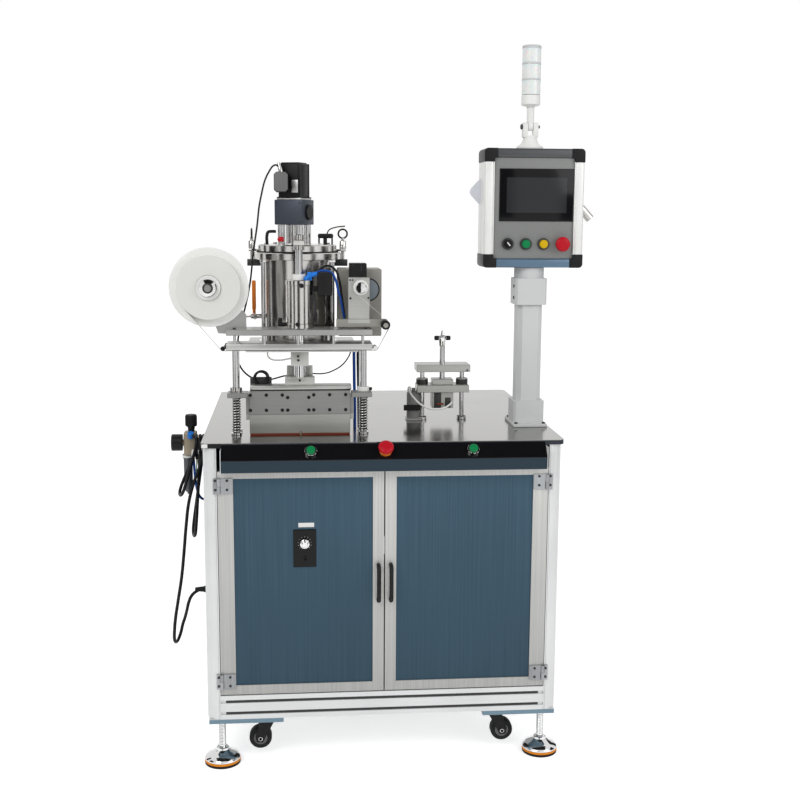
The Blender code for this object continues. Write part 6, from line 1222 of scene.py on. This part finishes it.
def signal_light():
    """The signal light: its dome and knuckle on the box, and three clear tiers in bright rings."""
    x, y, top = LAMP_X, BOX_Y, BOX_TOP
    dome = turned([(0.035, 0.0003), (0.0352, 0.004), (0.0335, 0.007), (0.031, 0.0086), (0.027, 0.0112),
                   (0.023, 0.0145),
                   (0.02, 0.0195), (0.018, 0.0262), (0.017, 0.0335), (0.016, 0.0343)], (x, y, top),
                   sides=72)
    ears = []
    for side in (-1, 1):
        ears += [block((x + side * 0.0135 - 0.0064, y - 0.011, top + 0.03),
                       (x + side * 0.0135 + 0.0064, y + 0.011, PIVOT_Z), 0.0015),
                 turned([(0.0105, 0), (0.011, 0.0006), (0.011, 0.0124), (0.01, 0.0132)],
                        (x + side * 0.007, y, PIVOT_Z), (side, 0, 0), 40)]
    bolt = [rod((x - 0.025, y, PIVOT_Z), (x + 0.025, y, PIVOT_Z), 0.004, 24),
            hexagon(0.0068, 0.005, (x - 0.02, y, PIVOT_Z), LEFTWARD)]
    piece("lamp_bracket", [dome] + ears, "control_box", "white", "tower_bracket")
    piece("lamp_bolt", bolt, "control_box", "dark_steel")
    low = PIVOT_Z
    neck = [turned([(0.0095, 0.0125), (0.0095, 0.048), (0.013, 0.0515), (0.021, 0.053), (0.0245, 0.056),
                    (0.0245, 0.078),
                    (0.0238, 0.079)], (x, y, low), sides=64),
            block((x - 0.0061, y - 0.0085, low), (x + 0.0061, y + 0.0085, low + 0.014), 0.001),
            rod((x - 0.0061, y, low), (x + 0.0061, y, low), 0.0105, 40)]
    piece("lamp_base", neck, "tower_lamp", "white", "tower_lamp")
    tiers, bands = [], []
    start, height = low + 0.08, 0.04
    for number in range(3):
        z = start + number * height
        tiers.append(turned([(0.0236, 0), (0.0243, 0.001), (0.0243, height - 0.0046),
                             (0.0236, height - 0.0038)], (x, y, z), sides=72))
        bands.append(turned([(0.024, 0), (0.0247, 0.0006), (0.0247, 0.0032), (0.024, 0.0038)],
                            (x, y, z + height - 0.0038), sides=72))
    piece("lamp_tiers", tiers, "tower_lamp", "lens")
    cap = turned([(0.024, 0), (0.0246, 0.0005), (0.0244, 0.002), (0.0225, 0.0035), (0.006, 0.004)],
                 (x, y, start + 3 * height), sides=72)
    piece("lamp_rings", bands + [cap], "tower_lamp", "grey_paint")


# Side of the cabinet, feet and casters
def regulator():
    """The air regulator: knob, body, gauge, bowl, fitting and plate."""
    x, y = REGULATOR
    gauge_z = 0.7895
    knob = [turned([(0.008, 0.818), (0.01, 0.833), (0.0143, 0.8336), (0.015, 0.8345), (0.015, 0.862),
                    (0.0135, 0.8645), (0.004, 0.865)],
                   (x, y, 0), sides=48)]
    knob += ridges(28, 0.015, (x, y, 0.8365), 0.0235, 0.0007, upright=True)
    piece("regulator_knob", knob, "cabinet", "black", "air_regulator")
    body = [block((x - 0.019, y - 0.02, 0.757), (x + 0.014, y + 0.02, 0.819), 0.004, 3),
            rod((x - 0.018, y, gauge_z), (x - 0.0235, y, gauge_z), 0.0085, 24)]
    piece("regulator_body", body, "cabinet", "bronze")
    gauge = [turned([(0.0215, 0), (0.0222, 0.001), (0.0222, 0.027), (0.0212, 0.0285), (0.0195, 0.0285),
                     (0.0192, 0.0265)],
                    (x - 0.0235, y, gauge_z), LEFTWARD, 64)]
    piece("gauge_case", gauge, "cabinet", "black")
    face = [turned([(0.0188, 0), (0.019, 0.0004)], (x - 0.0235 - 0.0264, y, gauge_z), LEFTWARD, 48)]
    piece("gauge_face", face, "cabinet", "white")
    ticks = dial_marks((x - 0.0505, y, gauge_z), -45, 27, 0.0135, 0.017, 0.0004, facing_left=True)
    ticks.append(rod(Vector((x - 0.051, y, gauge_z)) - Vector((0, 0.004, 0.002)),
                     Vector((x - 0.051, y + 0.012, 0.796)), 0.0006, 6))
    piece("gauge_ticks", ticks, "cabinet", "black")
    bowl = turned([(0.0135, 0.758), (0.014, 0.756), (0.014, 0.748), (0.0118, 0.745), (0.0114, 0.668),
                   (0.009, 0.659), (0.007, 0.656),
                   (0.0038, 0.654), (0.0035, 0.65)], (x - 0.01, y, 0), sides=48)
    piece("regulator_bowl", bowl, "cabinet", "profile_dark")
    band = [turned([(0.0146, 0), (0.015, 0.0006), (0.015, 0.006), (0.0146, 0.0066)], (x - 0.01, y, 0.75),
                   sides=48)]
    piece("bowl_band", band, "cabinet", "white")
    arm = [block((x + 0.01, y - 0.012, 0.778), (-0.4447, y + 0.012, 0.8), 0.001),
           block((-0.45, y - 0.022, 0.76), (-0.4443, y + 0.022, 0.815), 0.001)]
    piece("regulator_arm", arm, "cabinet", "steel")
    fitting = [turned([(0.0072, 0), (0.008, 0.0008), (0.008, 0.015), (0.007, 0.0162)],
                      (-0.495, y - 0.02, 0.806), (0.1, -0.5, 1), 32)]
    piece("blue_collar", fitting, "cabinet", "blue_fitting")
    stub = [rod((-0.488, -0.183, 0.77), (-0.488, -0.186, 0.7555), 0.0052, 24),
            rod((-0.486, -0.176, 0.77), (-0.488, -0.185, 0.77), 0.005, 24)]
    piece("white_stub", stub, "cabinet", "white")


def foot(name, x, y):
    """A levelling foot: stem, dished disc and rubber pad."""
    stem = [rod((x, y, 0.036), (x, y, 0.1257), 0.0085, 40), hexagon(0.015, 0.008, (x, y, 0.1085))]
    grooves = [ring((x, y, 0.05 + 0.004 * n), (0, 0, 1), 0.0086, 0.0006, 32, 6) for n in range(14)]
    dish = turned([(0.043, 0.012), (0.0452, 0.0135), (0.0455, 0.0165), (0.043, 0.0205), (0.033, 0.0265),
                   (0.022, 0.032), (0.017, 0.0365),
                   (0.016, 0.041), (0.014, 0.0425)], (x, y, 0), sides=80)
    piece(name + "_foot_metal", stem + grooves + [dish], "cabinet", "chrome", name + "_foot")
    pad = turned([(0.044, 0.0), (0.0452, 0.0008), (0.0455, 0.005), (0.0446, 0.0066)], (x, y, 0), sides=80)
    piece(name + "_foot_pad", pad, "cabinet", "rubber")
    seat = turned([(0.044, 0.0066), (0.0456, 0.0075), (0.0456, 0.011), (0.044, 0.0121)], (x, y, 0),
                  sides=80)
    piece(name + "_foot_ring", seat, "cabinet", "foot_orange")


def wheel(name):
    """A caster wheel: its tyre, hub and axle bolt."""
    low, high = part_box(name + "_wheel")
    mid = (low + high) / 2 - SHIFT
    half = (high.y - low.y) / 2
    radius = (high.z - low.z) / 2
    tyre = turned([(radius - 0.0022, 0), (radius - 0.0004, 0.0022), (radius, 0.005),
                   (radius, 2 * half - 0.005), (radius - 0.0004, 2 * half - 0.0022),
                   (radius - 0.0022, 2 * half), (radius - 0.01, 2 * half),
                   (radius - 0.011, 2 * half - 0.002)],
                  (mid.x, mid.y - half, mid.z), (0, 1, 0), 64)
    piece(name + "_tyre", tyre, name + "_wheel", "rubber", name + "_wheel")
    hub = [collar(0.0046, radius - 0.0112, 0.0016, (mid.x, mid.y - half - 0.0001, mid.z), (0, 1, 0), 48)]
    piece(name + "_hub", hub, name + "_wheel", "cover_grey")
    bolts = [hexagon(0.0062, 0.004, (mid.x, mid.y + side * (half + 0.0038), mid.z), (0, side, 0))
             for side in (-1, 1)]
    piece(name + "_axle_nuts", bolts, name + "_caster", "steel")


def feet_and_wheels():
    """All four feet and castor wheels."""
    for name, sx, sy in (("front_left", -1, -1), ("front_right", 1, -1), ("rear_left", -1, 1),
                         ("rear_right", 1, 1)):
        foot(name, sx * 0.412, sy * 0.395)
        wheel(name)


# Light and floor
def card(name, corners, paint):
    """A dark card that only shines back from metal and gloss."""
    mesh = bpy.data.meshes.new(name)
    mesh.from_pydata([tuple(corner) for corner in corners], [], [(0, 1, 2, 3)])
    made = bpy.data.objects.new(name, mesh)
    bpy.context.scene.collection.objects.link(made)
    mesh.materials.append(paint)
    made.visible_camera = made.visible_diffuse = made.visible_shadow = made.visible_transmission = False


def seen_rays(tree):
    """What the camera sees, straight or in a shine or through glass."""
    rays = tree.nodes.new("ShaderNodeLightPath")
    seen = rays.outputs["Is Camera Ray"]
    for name in ("Is Glossy Ray", "Is Transmission Ray"):
        both = tree.nodes.new("ShaderNodeMath")
        both.operation = "MAXIMUM"
        tree.links.new(seen, both.inputs[0])
        tree.links.new(rays.outputs[name], both.inputs[1])
        seen = both.outputs[0]
    return seen


SOFT_LIGHT, FLOOR_GLOW = 0.62, 0.52
LAMPS = (((-1.8, -2.6, 3.0), (0, 0, 0.9), 1.6, 38), ((2.2, -2.2, 2.2), (0, 0, 0.8), 1.4, 20))
CARD_REACH, CARD_HEIGHT, CARD_TURN = 4.4, 3.6, 12
CARD_BANDS = ((-124, -112), (-100, -76), (-62, -48), (-30, -10), (20, 34), (58, 84), (104, 120))


def studio():
    """A white world for what shines, softer light for what doesn't, two lamps and a floor."""
    scene = bpy.context.scene
    scene.view_settings.view_transform = "Standard"
    world = bpy.data.worlds.new("studio")
    scene.world = world
    world.use_nodes = True
    nodes, links = world.node_tree.nodes, world.node_tree.links
    nodes.clear()
    out = nodes.new("ShaderNodeOutputWorld")
    soft, white = nodes.new("ShaderNodeBackground"), nodes.new("ShaderNodeBackground")
    mix = nodes.new("ShaderNodeMixShader")
    soft.inputs["Color"].default_value, soft.inputs["Strength"].default_value = (1, 1, 1, 1), SOFT_LIGHT
    white.inputs["Color"].default_value, white.inputs["Strength"].default_value = (1, 1, 1, 1), 1.0
    links.new(seen_rays(world.node_tree), mix.inputs[0])
    links.new(soft.outputs[0], mix.inputs[1])
    links.new(white.outputs[0], mix.inputs[2])
    links.new(mix.outputs[0], out.inputs[0])
    for place, target, size, power in LAMPS:
        bpy.ops.object.light_add(type="AREA", location=place)
        lamp = bpy.context.object
        lamp.data.size, lamp.data.energy = size, power
        lamp.rotation_mode = "QUATERNION"
        lamp.rotation_quaternion = (Vector(target) - Vector(place)).to_track_quat("-Z", "Y")
    nothing_selected()
    bpy.ops.mesh.primitive_plane_add(size=60, location=(0, 0, 0))
    floor = bpy.context.object
    floor.name = "floor"
    paint = bpy.data.materials.new("floor")
    paint.use_nodes = True
    shader = paint.node_tree.nodes["Principled BSDF"]
    shader.inputs["Base Color"].default_value = (0.93, 0.93, 0.93, 1)
    shader.inputs["Roughness"].default_value = 0.8
    shader.inputs["Specular IOR Level"].default_value = 0.1
    shader.inputs["Emission Color"].default_value = (1, 1, 1, 1)
    glow = paint.node_tree.nodes.new("ShaderNodeMath")
    glow.operation = "MULTIPLY"
    glow.inputs[1].default_value = FLOOR_GLOW
    paint.node_tree.links.new(seen_rays(paint.node_tree), glow.inputs[0])
    paint.node_tree.links.new(glow.outputs[0], shader.inputs["Emission Strength"])
    floor.data.materials.append(paint)
    dark = bpy.data.materials.new("card")
    dark.use_nodes = True
    shader = dark.node_tree.nodes["Principled BSDF"]
    shader.inputs["Base Color"].default_value, shader.inputs["Roughness"].default_value = (0.01, 0.01, 0.01,
                                                                                           1), 1.0
    rise = Vector((0, 0, CARD_HEIGHT))
    for number, band in enumerate(CARD_BANDS):
        turns = [math.radians(angle + CARD_TURN) for angle in band]
        start, end = (CARD_REACH * Vector((math.sin(turn), -math.cos(turn), 0)) for turn in turns)
        card(f"side_card_{number}", [start, end, end + rise, start + rise], dark)
    card("overhead_card", [(-2.4, -2.6, 4.2), (2.4, -2.6, 4.2), (2.4, 0.1, 4.2), (-2.4, 0.1, 4.2)], dark)


camera()
mains_lead()
tubes()
studio()
cabinet_finishes()
screws_on_doors()
fascia_controls()
springs()
guide_posts()
press_plates()
press_head()
filling_block()
air_cylinder()
tank()
tank_lid()
stirrer()
reel()
takeup()
fixture()
control_box()
signal_light()
regulator()
feet_and_wheels()
